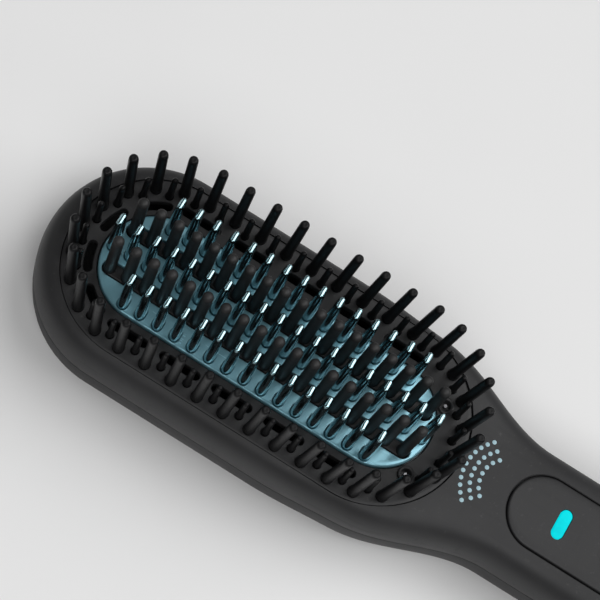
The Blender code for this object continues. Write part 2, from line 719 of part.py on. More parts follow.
def make_back_shell(material):
    shell = cut(body_solid(0.0), body_solid(WALL))
    cut(shell, far_box(2 * BODY_FRONT_X, 2 * BODY_REAR_X, SPLIT_Z - SEAM_GAP / 2, 2 * DECK_Z))
    cut(shell, far_box(CAP_JOINT_X - SEAM_GAP / 2, 2 * BODY_REAR_X, -DECK_Z, 2 * DECK_Z))
    post_top = BOARD_TOP_Z - BOARD_THICKNESS - PIECE_GAP
    size = BOARD_POST_HALF_SIZE
    for x, y in board_post_places():
        join(shell, box(x - size, x + size, y - size, y + size, WALL - JOIN_DEPTH, post_top))
    for name, x, y in SCREW_PLACES:
        low = SCREW_RECESS_DEPTH + SCREW_HEAD_HEIGHT / 2
        join(shell, solid(circle(x, y, LOWER_BOSS_RADIUS, SMALL_SIDES), low, SPLIT_Z - SEAM_GAP / 2))
    heads = []
    holes = []
    seat = SCREW_RECESS_DEPTH + SCREW_HEAD_HEIGHT + SCREW_CLEARANCE
    for name, x, y in SCREW_PLACES:
        heads.append(solid(circle(x, y, SCREW_HEAD_RADIUS + SCREW_CLEARANCE, SMALL_SIDES), -DECK_Z, seat))
        holes.append(solid(circle(x, y, SCREW_SHANK_RADIUS + SCREW_CLEARANCE, SMALL_SIDES), -DECK_Z, DECK_Z))
    cut(shell, gather(heads), gather(holes))
    return finish(shell, "back_shell", material)


# Head

def track_point(step, radius, end):
    """A place on a round end; step counts bristle spacings from the near side, radius picks the track."""
    arc = 2 * TALL_OVERRUN + math.pi * TALL_TRACK_RADIUS
    along = arc * step / (TALL_PER_CAP + 1)
    if along < TALL_OVERRUN:
        return BED_X + end * (BED_HALF_STRAIGHT - TALL_OVERRUN + along), -radius
    if along > arc - TALL_OVERRUN:
        return BED_X + end * (BED_HALF_STRAIGHT - along + arc - TALL_OVERRUN), radius
    angle = -math.pi / 2 + (along - TALL_OVERRUN) / TALL_TRACK_RADIUS
    return BED_X + end * (BED_HALF_STRAIGHT + radius * math.cos(angle)), radius * math.sin(angle)


def side_tall_places(side):
    """Tall bristles along one straight side, where side is 1 for far and -1 for near."""
    first = BED_X - TALL_SPACING * (TALL_PER_SIDE - 1) / 2
    return [(first + TALL_SPACING * i, side * TALL_TRACK_RADIUS) for i in range(TALL_PER_SIDE)]


def side_short_places(side):
    first = BED_X - TALL_SPACING * (TALL_PER_SIDE - 2) / 2
    return [(first + TALL_SPACING * i, side * SHORT_TRACK_RADIUS) for i in range(TALL_PER_SIDE - 1)]


def end_tall_places(end):
    """Tall bristles round one end, where end is -1 for the tip and 1 for the neck."""
    return [track_point(i + 1, TALL_TRACK_RADIUS, end) for i in range(TALL_PER_CAP)]


def end_short_places(end):
    return [track_point(i + 0.5, SHORT_TRACK_RADIUS, end) for i in range(TALL_PER_CAP + 1)]


def tall_places():
    places = []
    for way in (-1, 1):
        places += side_tall_places(way) + end_tall_places(way)
    return places


def short_places():
    places = []
    for way in (-1, 1):
        places += side_short_places(way) + end_short_places(way)
    return places


def plant_bristles(carrier, tall, short, name, material):
    """Join bristles to the strip that carries them under the bed."""
    root = CARRIER_BOTTOM_Z + CARRIER_THICKNESS / 2
    spikes = []
    for x, y in tall:
        levels = (
            (TALL_FOOT_RADIUS, root),
            (TALL_FOOT_RADIUS, BED_TOP_Z + FOOT_HEIGHT),
            (TALL_TIP_RADIUS, TALL_TOP_Z - TIP_ROUNDING),
            (TALL_TIP_RADIUS * TIP_FLAT_SHARE, TALL_TOP_Z),
        )
        spikes.append(spike(x, y, levels, BRISTLE_SIDES, TALL_SPLAY_SHARE * (x - BED_X)))
    for x, y in short:
        levels = ((SHORT_FOOT_RADIUS, root), (SHORT_TIP_RADIUS, SHORT_TOP_Z))
        spikes.append(spike(x, y, levels, THIN_SIDES))
    return finish(join(carrier, gather(spikes)), name, material)


def make_side_bristles(side, name, material):
    reach = BED_HALF_STRAIGHT - PIECE_GAP / 2
    low_y, high_y = sorted((side * CARRIER_INNER_RADIUS, side * CARRIER_OUTER_RADIUS))
    top = CARRIER_BOTTOM_Z + CARRIER_THICKNESS
    carrier = box(BED_X - reach, BED_X + reach, low_y, high_y, CARRIER_BOTTOM_Z, top)
    return plant_bristles(carrier, side_tall_places(side), side_short_places(side), name, material)


def make_end_bristles(end, name, material):
    top = CARRIER_BOTTOM_Z + CARRIER_THICKNESS
    carrier = solid(bed_outline(CARRIER_OUTER_RADIUS), CARRIER_BOTTOM_Z, top)
    cut(carrier, solid(bed_outline(CARRIER_INNER_RADIUS), -DECK_Z, DECK_Z))
    joint_x = BED_X + end * (BED_HALF_STRAIGHT + PIECE_GAP / 2)
    past_x = 2 * BODY_REAR_X if end < 0 else 2 * BODY_FRONT_X
    cut(carrier, far_box(min(joint_x, past_x), max(joint_x, past_x), -DECK_Z, 2 * DECK_Z))
    return plant_bristles(carrier, end_tall_places(end), end_short_places(end), name, material)


def tip_slot_arc(radius, angle):
    """Points at a radius round the bed's tip end, spread about an angle from straight ahead."""
    centre_x = BED_X - BED_HALF_STRAIGHT
    turns = [
        angle + SLOT_CAP_HALF_ANGLE_SHARE * (2 * i / SLOT_ARC_STEPS - 1)
        for i in range(SLOT_ARC_STEPS + 1)
    ]
    return [(centre_x - radius * math.cos(turn), radius * math.sin(turn)) for turn in turns]


def tip_slot(step):
    """An arc-shaped air slot on the tip end, at a number of bristle spacings round it."""
    x, y = track_point(step, SLOT_TRACK_RADIUS, -1)
    angle = math.atan2(y, BED_X - BED_HALF_STRAIGHT - x)
    inner = tip_slot_arc(SLOT_TRACK_RADIUS - SLOT_HALF_WIDTH, angle)
    outer = tip_slot_arc(SLOT_TRACK_RADIUS + SLOT_HALF_WIDTH, angle)
    return outer + list(reversed(inner))


def slot_outlines():
    outlines = []
    sides = (TALL_PER_SIDE + 1) // 2
    for i in range(sides):
        x = BED_X + SLOT_SPACING * (i - (sides - 1) / 2)
        for y in (-SLOT_TRACK_RADIUS, SLOT_TRACK_RADIUS):
            pill = stadium(x, SLOT_HALF_LENGTH - SLOT_HALF_WIDTH, SLOT_HALF_WIDTH, SLOT_STEPS)
            outlines.append([(px, py + y) for px, py in pill])
    outlines += [tip_slot(step) for step in TIP_SLOT_STEPS]
    return outlines


def ion_places():
    angle = math.pi * ION_CAP_ANGLE_SHARE
    x = BED_X + BED_HALF_STRAIGHT + ION_TRACK_RADIUS * math.cos(angle)
    y = ION_TRACK_RADIUS * math.sin(angle)
    return (("far", x, y), ("near", x, -y))


def make_bristle_bed(material):
    bed = solid(bed_outline(BED_RADIUS), BED_BOTTOM_Z, BED_TOP_Z)
    cutters = [plate_outline(PLATE_RADIUS + PIECE_GAP)]
    cutters += slot_outlines()
    for x, y in tall_places():
        cutters.append(circle(x, y, TALL_FOOT_RADIUS + BRISTLE_HOLE_CLEARANCE, BRISTLE_SIDES))
    for x, y in short_places():
        cutters.append(circle(x, y, SHORT_FOOT_RADIUS + BRISTLE_HOLE_CLEARANCE, THIN_SIDES))
    for name, x, y in ion_places():
        cutters.append(circle(x, y, ION_TUBE_RADIUS + ION_HOLE_CLEARANCE, SMALL_SIDES))
    cut(bed, gather([solid(outline, 0.0, 2 * DECK_Z) for outline in cutters]))
    return finish(bed, "bristle_bed", material)


def tooth_places():
    rows = (
        (OUTER_ROW_TEETH, TOOTH_ROW_SPACING),
        (MIDDLE_ROW_TEETH, 0.0),
        (OUTER_ROW_TEETH, -TOOTH_ROW_SPACING),
    )
    return [
        (BED_X + TOOTH_SPACING * (i - (count - 1) / 2), y)
        for count, y in rows
        for i in range(count)
    ]


def post_places(y):
    return [(BED_X + TOOTH_SPACING * (i - (POSTS_PER_ROW - 1) / 2), y) for i in range(POSTS_PER_ROW)]


def post_strip(y, radius):
    """The long pill that a row of posts stands on, or with a larger radius the slot round it."""
    pill = stadium(BED_X, TOOTH_SPACING * (POSTS_PER_ROW - 1) / 2, radius, PILL_STEPS)
    return [(px, py + y) for px, py in pill]


def make_heated_plate(material):
    plate = solid(plate_outline(PLATE_RADIUS), PLATE_BOTTOM_Z, PLATE_TOP_Z)
    rows = (-TOOTH_ROW_SPACING / 2, TOOTH_ROW_SPACING / 2)
    cut(plate, gather([solid(post_strip(y, POST_SLOT_RADIUS), 0.0, 2 * DECK_Z) for y in rows]))
    top = PLATE_TOP_Z + TOOTH_HEIGHT
    levels = ((TOOTH_FOOT_RADIUS, PLATE_TOP_Z - PLATE_THICKNESS / 2), (TOOTH_TIP_RADIUS, top))
    teeth = [spike(x, y, levels, THIN_SIDES) for x, y in tooth_places()]
    return finish(join(plate, gather(teeth)), "heated_plate", material)


def make_post_strip(name, y, material):
    reach = TOOTH_SPACING * (POSTS_PER_ROW - 1) / 2 + POST_BAR_END_MARGIN
    width = POST_BAR_HALF_WIDTH
    bar = box(BED_X - reach, BED_X + reach, y - width, y + width, POST_BAR_BOTTOM_Z, POST_BAR_TOP_Z)
    high = PLATE_TOP_Z + POST_HEIGHT
    root = POST_BAR_BOTTOM_Z + POST_BAR_THICKNESS / 2
    levels = ((POST_FOOT_RADIUS, root), (POST_TIP_RADIUS, high))
    posts = [spike(x, post_y, levels, THIN_SIDES) for x, post_y in post_places(y)]
    strip_outline = post_strip(y, POST_STRIP_RADIUS)
    strip = solid(strip_outline, POST_BAR_TOP_Z - JOIN_DEPTH, PLATE_TOP_Z - POST_STRIP_DROP)
    return finish(join(bar, strip, gather(posts)), name, material)


def make_plate_heater(material):
    reach = PLATE_HEATER_HALF_LENGTH
    width = PLATE_HEATER_HALF_WIDTH
    heater = box(BED_X - reach, BED_X + reach, -width, width, POST_BAR_BOTTOM_Z, POST_BAR_TOP_Z)
    return finish(heater, "plate_heater", material)


def make_heater_clamp(material):
    reach = CLAMP_HALF_LENGTH
    width = CLAMP_HALF_WIDTH
    low = CLAMP_TOP_Z - CLAMP_THICKNESS
    clamp = box(BED_X - reach, BED_X + reach, -width, width, low, CLAMP_TOP_Z)
    return finish(clamp, "heater_clamp", material)


def make_plate_frame(material):
    top = BED_BOTTOM_Z - PIECE_GAP
    beam_top = CLAMP_TOP_Z - CLAMP_THICKNESS - PIECE_GAP
    foot = WALL + PIECE_GAP
    middle_y = (RAIL_INNER_Y + RAIL_OUTER_Y) / 2
    rail = (BED_X - RAIL_HALF_LENGTH, BED_X + RAIL_HALF_LENGTH)
    rails = [
        box(*rail, y0, y1, top - RAIL_THICKNESS, top)
        for y0, y1 in ((-RAIL_OUTER_Y, -RAIL_INNER_Y), (RAIL_INNER_Y, RAIL_OUTER_Y))
    ]
    frame = gather(rails)
    legs = []
    beams = []
    for x in (BED_X - LEG_X, BED_X + LEG_X):
        size = LEG_HALF_SIZE
        for y in (-middle_y, middle_y):
            legs.append(box(x - size, x + size, y - size, y + size, foot, top - RAIL_THICKNESS / 2))
        beam = (x - BEAM_HALF_WIDTH, x + BEAM_HALF_WIDTH, -middle_y, middle_y)
        beams.append(box(*beam, beam_top - BEAM_THICKNESS, beam_top))
    join(frame, gather(legs), gather(beams))
    return finish(frame, "plate_frame", material)


def make_ion_collar(name, x, y, material):
    flange_low = BED_TOP_Z + PIECE_GAP
    collar = solid(circle(x, y, ION_COLLAR_RADIUS, ROUND_SIDES), flange_low, flange_low + ION_COLLAR_HEIGHT)
    tube = circle(x, y, ION_TUBE_RADIUS, SMALL_SIDES)
    join(collar, solid(tube, BED_BOTTOM_Z, flange_low + JOIN_DEPTH))
    cut(collar, solid(circle(x, y, ION_BORE_RADIUS, SMALL_SIDES), 0.0, 2 * DECK_Z))
    return finish(collar, name, material)


def make_ion_emitter(material):
    name, x, y = ion_places()[0]
    width = ION_BAR_HALF_WIDTH
    reach = y + ION_BAR_MARGIN
    bar = box(x - width, x + width, -reach, reach, ION_BAR_BOTTOM_Z, ION_BAR_TOP_Z)
    pins = [
        solid(circle(px, py, ION_NEEDLE_RADIUS, THIN_SIDES), ION_BAR_TOP_Z - JOIN_DEPTH, BED_TOP_Z)
        for name, px, py in ion_places()
    ]
    return finish(join(bar, gather(pins)), "ion_emitter", material)


# Controls

def make_control_panel(material):
    panel = solid(panel_stadium(0.0), PANEL_TOP_Z - PANEL_THICKNESS, PANEL_TOP_Z)
    holes = [solid(button_outline(name, x, BUTTON_CLEARANCE), 0.0, 2 * DECK_Z) for name, x in button_places()]
    lens = upright_pill(LED_X, LED_HALF_LENGTH + PIECE_GAP / 2, LED_HALF_WIDTH + PIECE_GAP / 2)
    holes.append(solid(lens, 0.0, 2 * DECK_Z))
    cut(panel, gather(holes))
    return finish(panel, "control_panel", material)


def make_led_lens(material):
    panel_low = PANEL_TOP_Z - PANEL_THICKNESS
    lens = solid(upright_pill(LED_X, LED_HALF_LENGTH, LED_HALF_WIDTH), panel_low, PANEL_TOP_Z)
    low = BOARD_TOP_Z + LED_CHIP_HEIGHT + PIECE_GAP
    join(lens, solid(led_guide_outline(0.0), low, panel_low + JOIN_DEPTH))
    return finish(lens, "led_lens", material)


def plunger_top_z():
    """Top of a switch plunger at rest, a little under the stem of its button."""
    return BOARD_TOP_Z + SWITCH_BODY_HEIGHT + BUTTON_TRAVEL + PLUNGER_TRAVEL_GAP


def make_button(name, x, material):
    """A cap, a stem through the shell and a wider foot under it, which keeps the button in."""
    top = PANEL_TOP_Z + BUTTON_PROUD
    low = PANEL_FLOOR_Z + BUTTON_TRAVEL + PLUNGER_TRAVEL_GAP
    button = solid(button_outline(name, x, 0.0), low, top)
    stem_low = plunger_top_z() + PIECE_GAP
    join(button, solid(circle(x, 0.0, STEM_RADIUS, SMALL_SIDES), stem_low, low + JOIN_DEPTH))
    foot_high = PANEL_FLOOR_Z - PANEL_FLOOR_THICKNESS - PIECE_GAP
    join(button, solid(circle(x, 0.0, STEM_FOOT_RADIUS, SMALL_SIDES), stem_low, foot_high))
    return finish(button, name + "_button", material, (x, 0.0, top))


def make_switch_body(name, x, material):
    size = SWITCH_HALF_SIZE
    low = BOARD_TOP_Z + PIECE_GAP / 2
    body = box(x - size, x + size, -size, size, low, BOARD_TOP_Z + SWITCH_BODY_HEIGHT)
    bore = circle(x, 0.0, PLUNGER_RADIUS + PLUNGER_BORE_CLEARANCE, SMALL_SIDES)
    cut(body, solid(bore, BOARD_TOP_Z + SWITCH_FLOOR_THICKNESS, DECK_Z))
    return finish(body, name + "_switch", material)


def make_plunger(name, x, material):
    low = BOARD_TOP_Z + SWITCH_FLOOR_THICKNESS + BUTTON_TRAVEL + PLUNGER_TRAVEL_GAP
    plunger = solid(circle(x, 0.0, PLUNGER_RADIUS, SMALL_SIDES), low, plunger_top_z())
    return finish(plunger, name + "_plunger", material, (x, 0.0, plunger_top_z()))


def make_board(material):
    low = BOARD_TOP_Z - BOARD_THICKNESS
    board = box(BOARD_START_X, BOARD_END_X, -BOARD_HALF_WIDTH, BOARD_HALF_WIDTH, low, BOARD_TOP_Z)
    return finish(board, "circuit_board", material)


def make_led_chip(material):
    size = LED_CHIP_HALF_SIZE
    low = BOARD_TOP_Z + PIECE_GAP / 2
    chip = box(LED_X - size, LED_X + size, -size, size, low, BOARD_TOP_Z + LED_CHIP_HEIGHT)
    return finish(chip, "led_chip", material)


def make_ion_generator(material):
    low = WALL + PIECE_GAP
    width = ION_BOX_HALF_WIDTH
    end_x = ION_BOX_START_X + ION_BOX_LENGTH
    block = box(ION_BOX_START_X, end_x, -width, width, low, low + ION_BOX_HEIGHT)
    return finish(block, "ion_generator", material)


# Air heater

def make_heater_duct(material):
    low = WALL + PIECE_GAP
    wide = DUCT_HALF_WIDTH
    duct = box(DUCT_START_X, DUCT_END_X, -wide, wide, low, DUCT_TOP_Z)
    inner = wide - DUCT_WALL
    passage = (DUCT_START_X - DUCT_WALL, DUCT_END_X + DUCT_WALL, -inner, inner)
    cut(duct, box(*passage, low + DUCT_WALL, DUCT_TOP_Z - DUCT_WALL))
    return finish(duct, "heater_duct", material)


def duct_inside():
    """Low and high of the space inside the duct once the mica sheets are in."""
    low = WALL + PIECE_GAP + DUCT_WALL + MICA_THICKNESS + 2 * PIECE_GAP
    high = DUCT_TOP_Z - DUCT_WALL - MICA_THICKNESS - 2 * PIECE_GAP
    return low, high


def make_mica_sheet(name, low, material):
    wide = DUCT_HALF_WIDTH - DUCT_WALL - PIECE_GAP
    sheet = box(CORE_START_X, CORE_END_X, -wide, wide, low, low + MICA_THICKNESS)
    return finish(sheet, name, material)


def make_air_heater(material):
    """Two bars with fins between them, through which the air blows."""
    low, high = duct_inside()
    wide = DUCT_HALF_WIDTH - DUCT_WALL - PIECE_GAP
    bars = gather([
        box(CORE_START_X, CORE_END_X, -wide, wide, bar_low, bar_low + CORE_BAR_THICKNESS)
        for bar_low in (low, high - CORE_BAR_THICKNESS)
    ])
    fins = []
    reach = wide - FIN_THICKNESS
    half = FIN_THICKNESS / 2
    overlap = CORE_BAR_THICKNESS / 2
    for i in range(FIN_COUNT):
        y = reach * (2 * i / (FIN_COUNT - 1) - 1)
        fins.append(box(CORE_START_X, CORE_END_X, y - half, y + half, low + overlap, high - overlap))
    return finish(join(bars, gather(fins)), "air_heater", material)


def make_thermostat(material):
    low = DUCT_TOP_Z + PIECE_GAP
    disc = solid(circle(THERMOSTAT_X, 0.0, THERMOSTAT_RADIUS, SMALL_SIDES), low, low + THERMOSTAT_HEIGHT)
    return finish(disc, "thermostat", material)


def make_thermal_fuse(material):
    z = DUCT_TOP_Z + PIECE_GAP + FUSE_RADIUS
    reach = FUSE_HALF_LENGTH
    fuse = rod_along_x(FUSE_RADIUS, FUSE_X - reach, FUSE_X + reach, BRISTLE_SIDES, FUSE_Y, z)
    return finish(fuse, "thermal_fuse", material)


# Fan

def make_spider(start_x):
    """A ring round the motor with arms that reach the shroud."""
    end_x = start_x + SPIDER_THICKNESS
    ring = rod_along_x(MOTOR_RADIUS + PIECE_GAP + SPIDER_RING_WALL, start_x, end_x)
    half = SPIDER_ARM_HALF_WIDTH
    reach = SHROUD_RADIUS - SHROUD_WALL / 2
    across = box(start_x, end_x, -reach, reach, AIR_AXIS_Z - half, AIR_AXIS_Z + half)
    upright = box(start_x, end_x, -half, half, AIR_AXIS_Z - reach, AIR_AXIS_Z + reach)
    return join(ring, across, upright)


def make_fan_shroud(material):
    shroud = rod_along_x(SHROUD_RADIUS, SHROUD_START_X, SHROUD_END_X)
    cut(shroud, rod_along_x(SHROUD_RADIUS - SHROUD_WALL, 0.0, 2 * SHROUD_END_X))
    for start_x in (SHROUD_START_X + SPIDER_THICKNESS, MOTOR_END_X - 2 * SPIDER_THICKNESS):
        join(shroud, make_spider(start_x))
    cut(shroud, rod_along_x(MOTOR_RADIUS + PIECE_GAP, 0.0, MOTOR_END_X))
    return finish(shroud, "fan_shroud", material)


def make_fan_motor(material):
    motor = rod_along_x(MOTOR_RADIUS, MOTOR_START_X, MOTOR_END_X)
    cut(motor, rod_along_x(SHAFT_RADIUS + PIECE_GAP, MOTOR_END_X - SHAFT_DEPTH, 2 * MOTOR_END_X, SMALL_SIDES))
    return finish(motor, "fan_motor", material)


def shaft_end_x():
    return IMPELLER_START_X + IMPELLER_LENGTH + PIECE_GAP


def make_motor_shaft(material):
    start_x = MOTOR_END_X - SHAFT_DEPTH + PIECE_GAP
    shaft = rod_along_x(SHAFT_RADIUS, start_x, shaft_end_x(), SMALL_SIDES)
    return finish(shaft, "motor_shaft", material, (start_x, 0.0, AIR_AXIS_Z))


def blade_section(turn, radius):
    """The four corners of a slanted blade at a radius from the fan's axis."""
    middle = IMPELLER_START_X + IMPELLER_LENGTH / 2
    reach = IMPELLER_LENGTH / 2 - BLADE_MARGIN
    section = []
    for along, side in ((-1, -1), (1, -1), (1, 1), (-1, 1)):
        angle = turn + along * BLADE_PITCH_SHARE * IMPELLER_HUB_RADIUS / (2 * radius)
        angle += side * BLADE_THICKNESS / (2 * radius)
        place = (middle + along * reach, radius * math.cos(angle), AIR_AXIS_Z + radius * math.sin(angle))
        section.append(place)
    return section


def make_impeller(material):
    """A hub with slanted blades, bored through for the shaft."""
    end_x = IMPELLER_START_X + IMPELLER_LENGTH
    hub = rod_along_x(IMPELLER_HUB_RADIUS, IMPELLER_START_X, end_x)
    blades = []
    for i in range(IMPELLER_BLADES):
        turn = 2 * math.pi * i / IMPELLER_BLADES
        root = blade_section(turn, IMPELLER_HUB_RADIUS * BLADE_ROOT_SHARE)
        blades.append(loft([root, blade_section(turn, IMPELLER_RADIUS)]))
    join(hub, gather(blades))
    cut(hub, rod_along_x(SHAFT_RADIUS + PIECE_GAP, 0.0, 2 * end_x, SMALL_SIDES))
    return finish(hub, "fan_impeller", material, (IMPELLER_START_X, 0.0, AIR_AXIS_Z))


# Rear end

def make_inlet_cap(material):
    cap = cut(body_solid(0.0), body_solid(WALL))
    cut(cap, far_box(2 * BODY_FRONT_X, CAP_JOINT_X + SEAM_GAP / 2, -DECK_Z, 2 * DECK_Z))
    slots = []
    middle = DECK_Z / 2
    for i in range(INTAKE_SLOTS):
        x = INTAKE_START_X + i * INTAKE_SLOT_SPACING
        half = INTAKE_SLOT_HALF_WIDTH
        high = INTAKE_SLOT_HALF_HEIGHT
        slots.append(far_box(x - half, x + half, middle - high, middle + high))
    cut(cap, gather(slots))
    bore = GLAND_COLLAR_RADIUS + CAP_BORE_CLEARANCE
    cut(cap, rod_along_x(bore, BODY_REAR_X - 3 * WALL, 2 * BODY_REAR_X))
    return finish(cap, "inlet_cap", material, (CAP_JOINT_X, 0.0, AIR_AXIS_Z))


def gland_seat_x():
    """The outer end of the tube that the cord gland turns in."""
    return BODY_REAR_X + PIECE_GAP


def make_bulkhead(material):
    """Plate across the handle's end with air ports, and the long tube for the cord gland."""
    end_x = BULKHEAD_START_X + BULKHEAD_THICKNESS
    plate = body_solid(WALL + PIECE_GAP)
    cut(plate, far_box(2 * BODY_FRONT_X, BULKHEAD_START_X, -DECK_Z, 2 * DECK_Z))
    cut(plate, far_box(end_x, 2 * BODY_REAR_X, -DECK_Z, 2 * DECK_Z))
    tube_start = BULKHEAD_START_X + BULKHEAD_THICKNESS / 2
    join(plate, rod_along_x(GLAND_TUBE_OUTER_RADIUS, tube_start, gland_seat_x()))
    ports = []
    for y, z in circle(0.0, AIR_AXIS_Z, BULKHEAD_PORT_TRACK_RADIUS, BULKHEAD_PORTS):
        ports.append(rod_along_x(BULKHEAD_PORT_RADIUS, 0.0, 2 * end_x, SMALL_SIDES, y, z))
    cut(plate, gather(ports))
    cut(plate, rod_along_x(GLAND_TUBE_INNER_RADIUS, 0.0, 2 * BODY_REAR_X, SMALL_SIDES))
    return finish(plate, "rear_bulkhead", material)


def make_filter(material):
    """A round frame with upright bars, behind the bulkhead's ports."""
    x0 = BULKHEAD_START_X + BULKHEAD_THICKNESS + PIECE_GAP
    x1 = x0 + FILTER_THICKNESS
    frame = rod_along_x(FILTER_FRAME_RADIUS, x0, x1)
    cut(frame, rod_along_x(FILTER_FRAME_RADIUS - FILTER_BAR_WIDTH, 0.0, 2 * x1))
    join(frame, rod_along_x(GLAND_TUBE_OUTER_RADIUS + PIECE_GAP + FILTER_BAR_WIDTH, x0, x1))
    reach = FILTER_FRAME_RADIUS - FILTER_BAR_WIDTH / 2
    half = FILTER_BAR_WIDTH / 2
    for i in (-1, 0, 1):
        offset = i * FILTER_BAR_SPACING
        span = math.sqrt(reach * reach - offset * offset)
        join(frame, box(x0, x1, offset - half, offset + half, AIR_AXIS_Z - span, AIR_AXIS_Z + span))
    cut(frame, rod_along_x(GLAND_TUBE_OUTER_RADIUS + PIECE_GAP, 0.0, 2 * x1))
    return finish(frame, "air_filter", material)


def make_cord_gland(material):
    seat = gland_seat_x() + PIECE_GAP
    collar_end = seat + GLAND_COLLAR_LENGTH
    stem_start = BULKHEAD_START_X - GLAND_CLIP_THICKNESS - 2 * PIECE_GAP
    gland = rod_along_x(GLAND_STEM_RADIUS, stem_start, seat + JOIN_DEPTH, SMALL_SIDES)
    join(gland, rod_along_x(GLAND_COLLAR_RADIUS, seat, collar_end))
    join(gland, rod_along_x(GLAND_SLEEVE_RADIUS, collar_end - JOIN_DEPTH, GLAND_END_X))
    cut(gland, rod_along_x(GLAND_BORE_RADIUS, 0.0, 2 * GLAND_END_X, SMALL_SIDES))
    return finish(gland, "cord_gland", material, (seat, 0.0, AIR_AXIS_Z))


def make_gland_clip(material):
    """The ring that keeps the gland in its tube."""
    end_x = BULKHEAD_START_X - PIECE_GAP
    clip = rod_along_x(GLAND_CLIP_RADIUS, end_x - GLAND_CLIP_THICKNESS, end_x)
    cut(clip, rod_along_x(GLAND_STEM_RADIUS + PIECE_GAP, 0.0, 2 * end_x, SMALL_SIDES))
    return finish(clip, "gland_clip", material, (end_x, 0.0, AIR_AXIS_Z))


def make_screw(name, x, y, material):
    low = SCREW_RECESS_DEPTH
    screw = solid(circle(x, y, SCREW_HEAD_RADIUS, SMALL_SIDES), low, low + SCREW_HEAD_HEIGHT)
    shank = circle(x, y, SCREW_SHANK_RADIUS, THIN_SIDES)
    join(screw, solid(shank, low + SCREW_HEAD_HEIGHT / 2, low + SCREW_LENGTH))
    half = SCREW_SLOT_HALF_WIDTH
    reach = SCREW_SLOT_HALF_LENGTH
    cut(screw, box(x - reach, x + reach, y - half, y + half, -DECK_Z, low + SCREW_SLOT_DEPTH))
    return finish(screw, "screw_" + name, material)


def build_head():
    shell = make_material("shell_soft_touch", CHARCOAL, 0.55)
    make_front_shell(shell)
    make_back_shell(make_material("back_soft_touch", CHARCOAL, 0.55))
    make_bristle_bed(make_material("bed_plastic", BED_GREY, 0.5))
    nylon = make_material("bristle_nylon", BRISTLE_BLACK, 0.35)
    make_side_bristles(1, "bristles_far", nylon)
    make_side_bristles(-1, "bristles_near", nylon)
    make_end_bristles(-1, "bristles_tip", nylon)
    make_end_bristles(1, "bristles_neck", nylon)
    make_heated_plate(make_material("plate_metal", PLATE_BLUE, 0.25, 0.9))
    half_row = TOOTH_ROW_SPACING / 2
    make_post_strip("cool_posts_far", half_row, make_material("far_post_plastic", BRISTLE_BLACK, 0.4))
    make_post_strip("cool_posts_near", -half_row, make_material("near_post_plastic", BRISTLE_BLACK, 0.4))
    make_plate_heater(make_material("plate_heater_ceramic", CERAMIC_WHITE, 0.6))
    make_heater_clamp(make_material("clamp_steel", STEEL, 0.35, 1.0))
    make_plate_frame(make_material("frame_plastic", CREAM, 0.6))
    for name, x, y in ion_places():
        make_ion_collar("ion_collar_" + name, x, y, make_material("collar_plastic_" + name, BED_GREY, 0.3))
    make_ion_emitter(make_material("emitter_steel", STEEL, 0.3, 1.0))


def build_controls():
    make_control_panel(make_material("panel_plastic", PANEL_GREY, 0.45))
    make_led_lens(make_material("led_glow", CYAN, 0.3, 0.0, 1.5))
    for name, x in button_places():
        make_button(name, x, make_material(name + "_button_rubber", DARK_RUBBER, 0.6))
        make_switch_body(name, x, make_material(name + "_switch_plastic", BRISTLE_BLACK, 0.5))
        make_plunger(name, x, make_material(name + "_plunger_plastic", CREAM, 0.5))
    make_board(make_material("board_green", BOARD_GREEN, 0.5))
    make_led_chip(make_material("chip_white", CERAMIC_WHITE, 0.5))
    make_ion_generator(make_material("generator_plastic", DARK_RUBBER, 0.5))


def build_air_path():
    make_heater_duct(make_material("duct_plastic", CREAM, 0.6))
    low, high = duct_inside()
    lower_mica = make_material("mica_lower_sheet", MICA_BROWN, 0.4)
    make_mica_sheet("mica_lower", low - PIECE_GAP - MICA_THICKNESS, lower_mica)
    make_mica_sheet("mica_upper", high + PIECE_GAP, make_material("mica_upper_sheet", MICA_BROWN, 0.4))
    make_air_heater(make_material("heater_metal", STEEL, 0.4, 1.0))
    make_thermostat(make_material("thermostat_metal", STEEL, 0.35, 1.0))
    make_thermal_fuse(make_material("fuse_metal", STEEL, 0.3, 1.0))
    make_fan_shroud(make_material("shroud_plastic", IMPELLER_GREY, 0.5))
    make_fan_motor(make_material("motor_steel", STEEL, 0.35, 1.0))
    make_motor_shaft(make_material("shaft_steel", STEEL, 0.25, 1.0))
    make_impeller(make_material("impeller_plastic", IMPELLER_GREY, 0.4))
    make_bulkhead(make_material("bulkhead_plastic", IMPELLER_GREY, 0.5))
    make_filter(make_material("filter_plastic", BRISTLE_BLACK, 0.5))
    make_inlet_cap(make_material("cap_soft_touch", CHARCOAL, 0.55))
    make_cord_gland(make_material("gland_rubber", DARK_RUBBER, 0.7))
    make_gland_clip(make_material("clip_steel", STEEL, 0.3, 1.0))
    for name, x, y in SCREW_PLACES:
        make_screw(name, x, y, make_material("screw_steel_" + name, STEEL, 0.3, 1.0))


def centre_brush():
    """Move everything along X so that the origin lies under the middle of the brush."""
    middle = (BODY_FRONT_X + GLAND_END_X) / 2
    for thing in bpy.data.objects:
        thing.location.x -= middle


def main():
    clear_objects()
    build_head()
    build_controls()
    build_air_path()
    centre_brush()


main()
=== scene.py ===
"""Looks of a hot air paddle brush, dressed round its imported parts.

Lengths are metres. The brush lies on its back, with its head towards minus X and its bristles up.
"""

import json
import math

import bmesh
import bpy
from mathutils import Matrix, Vector


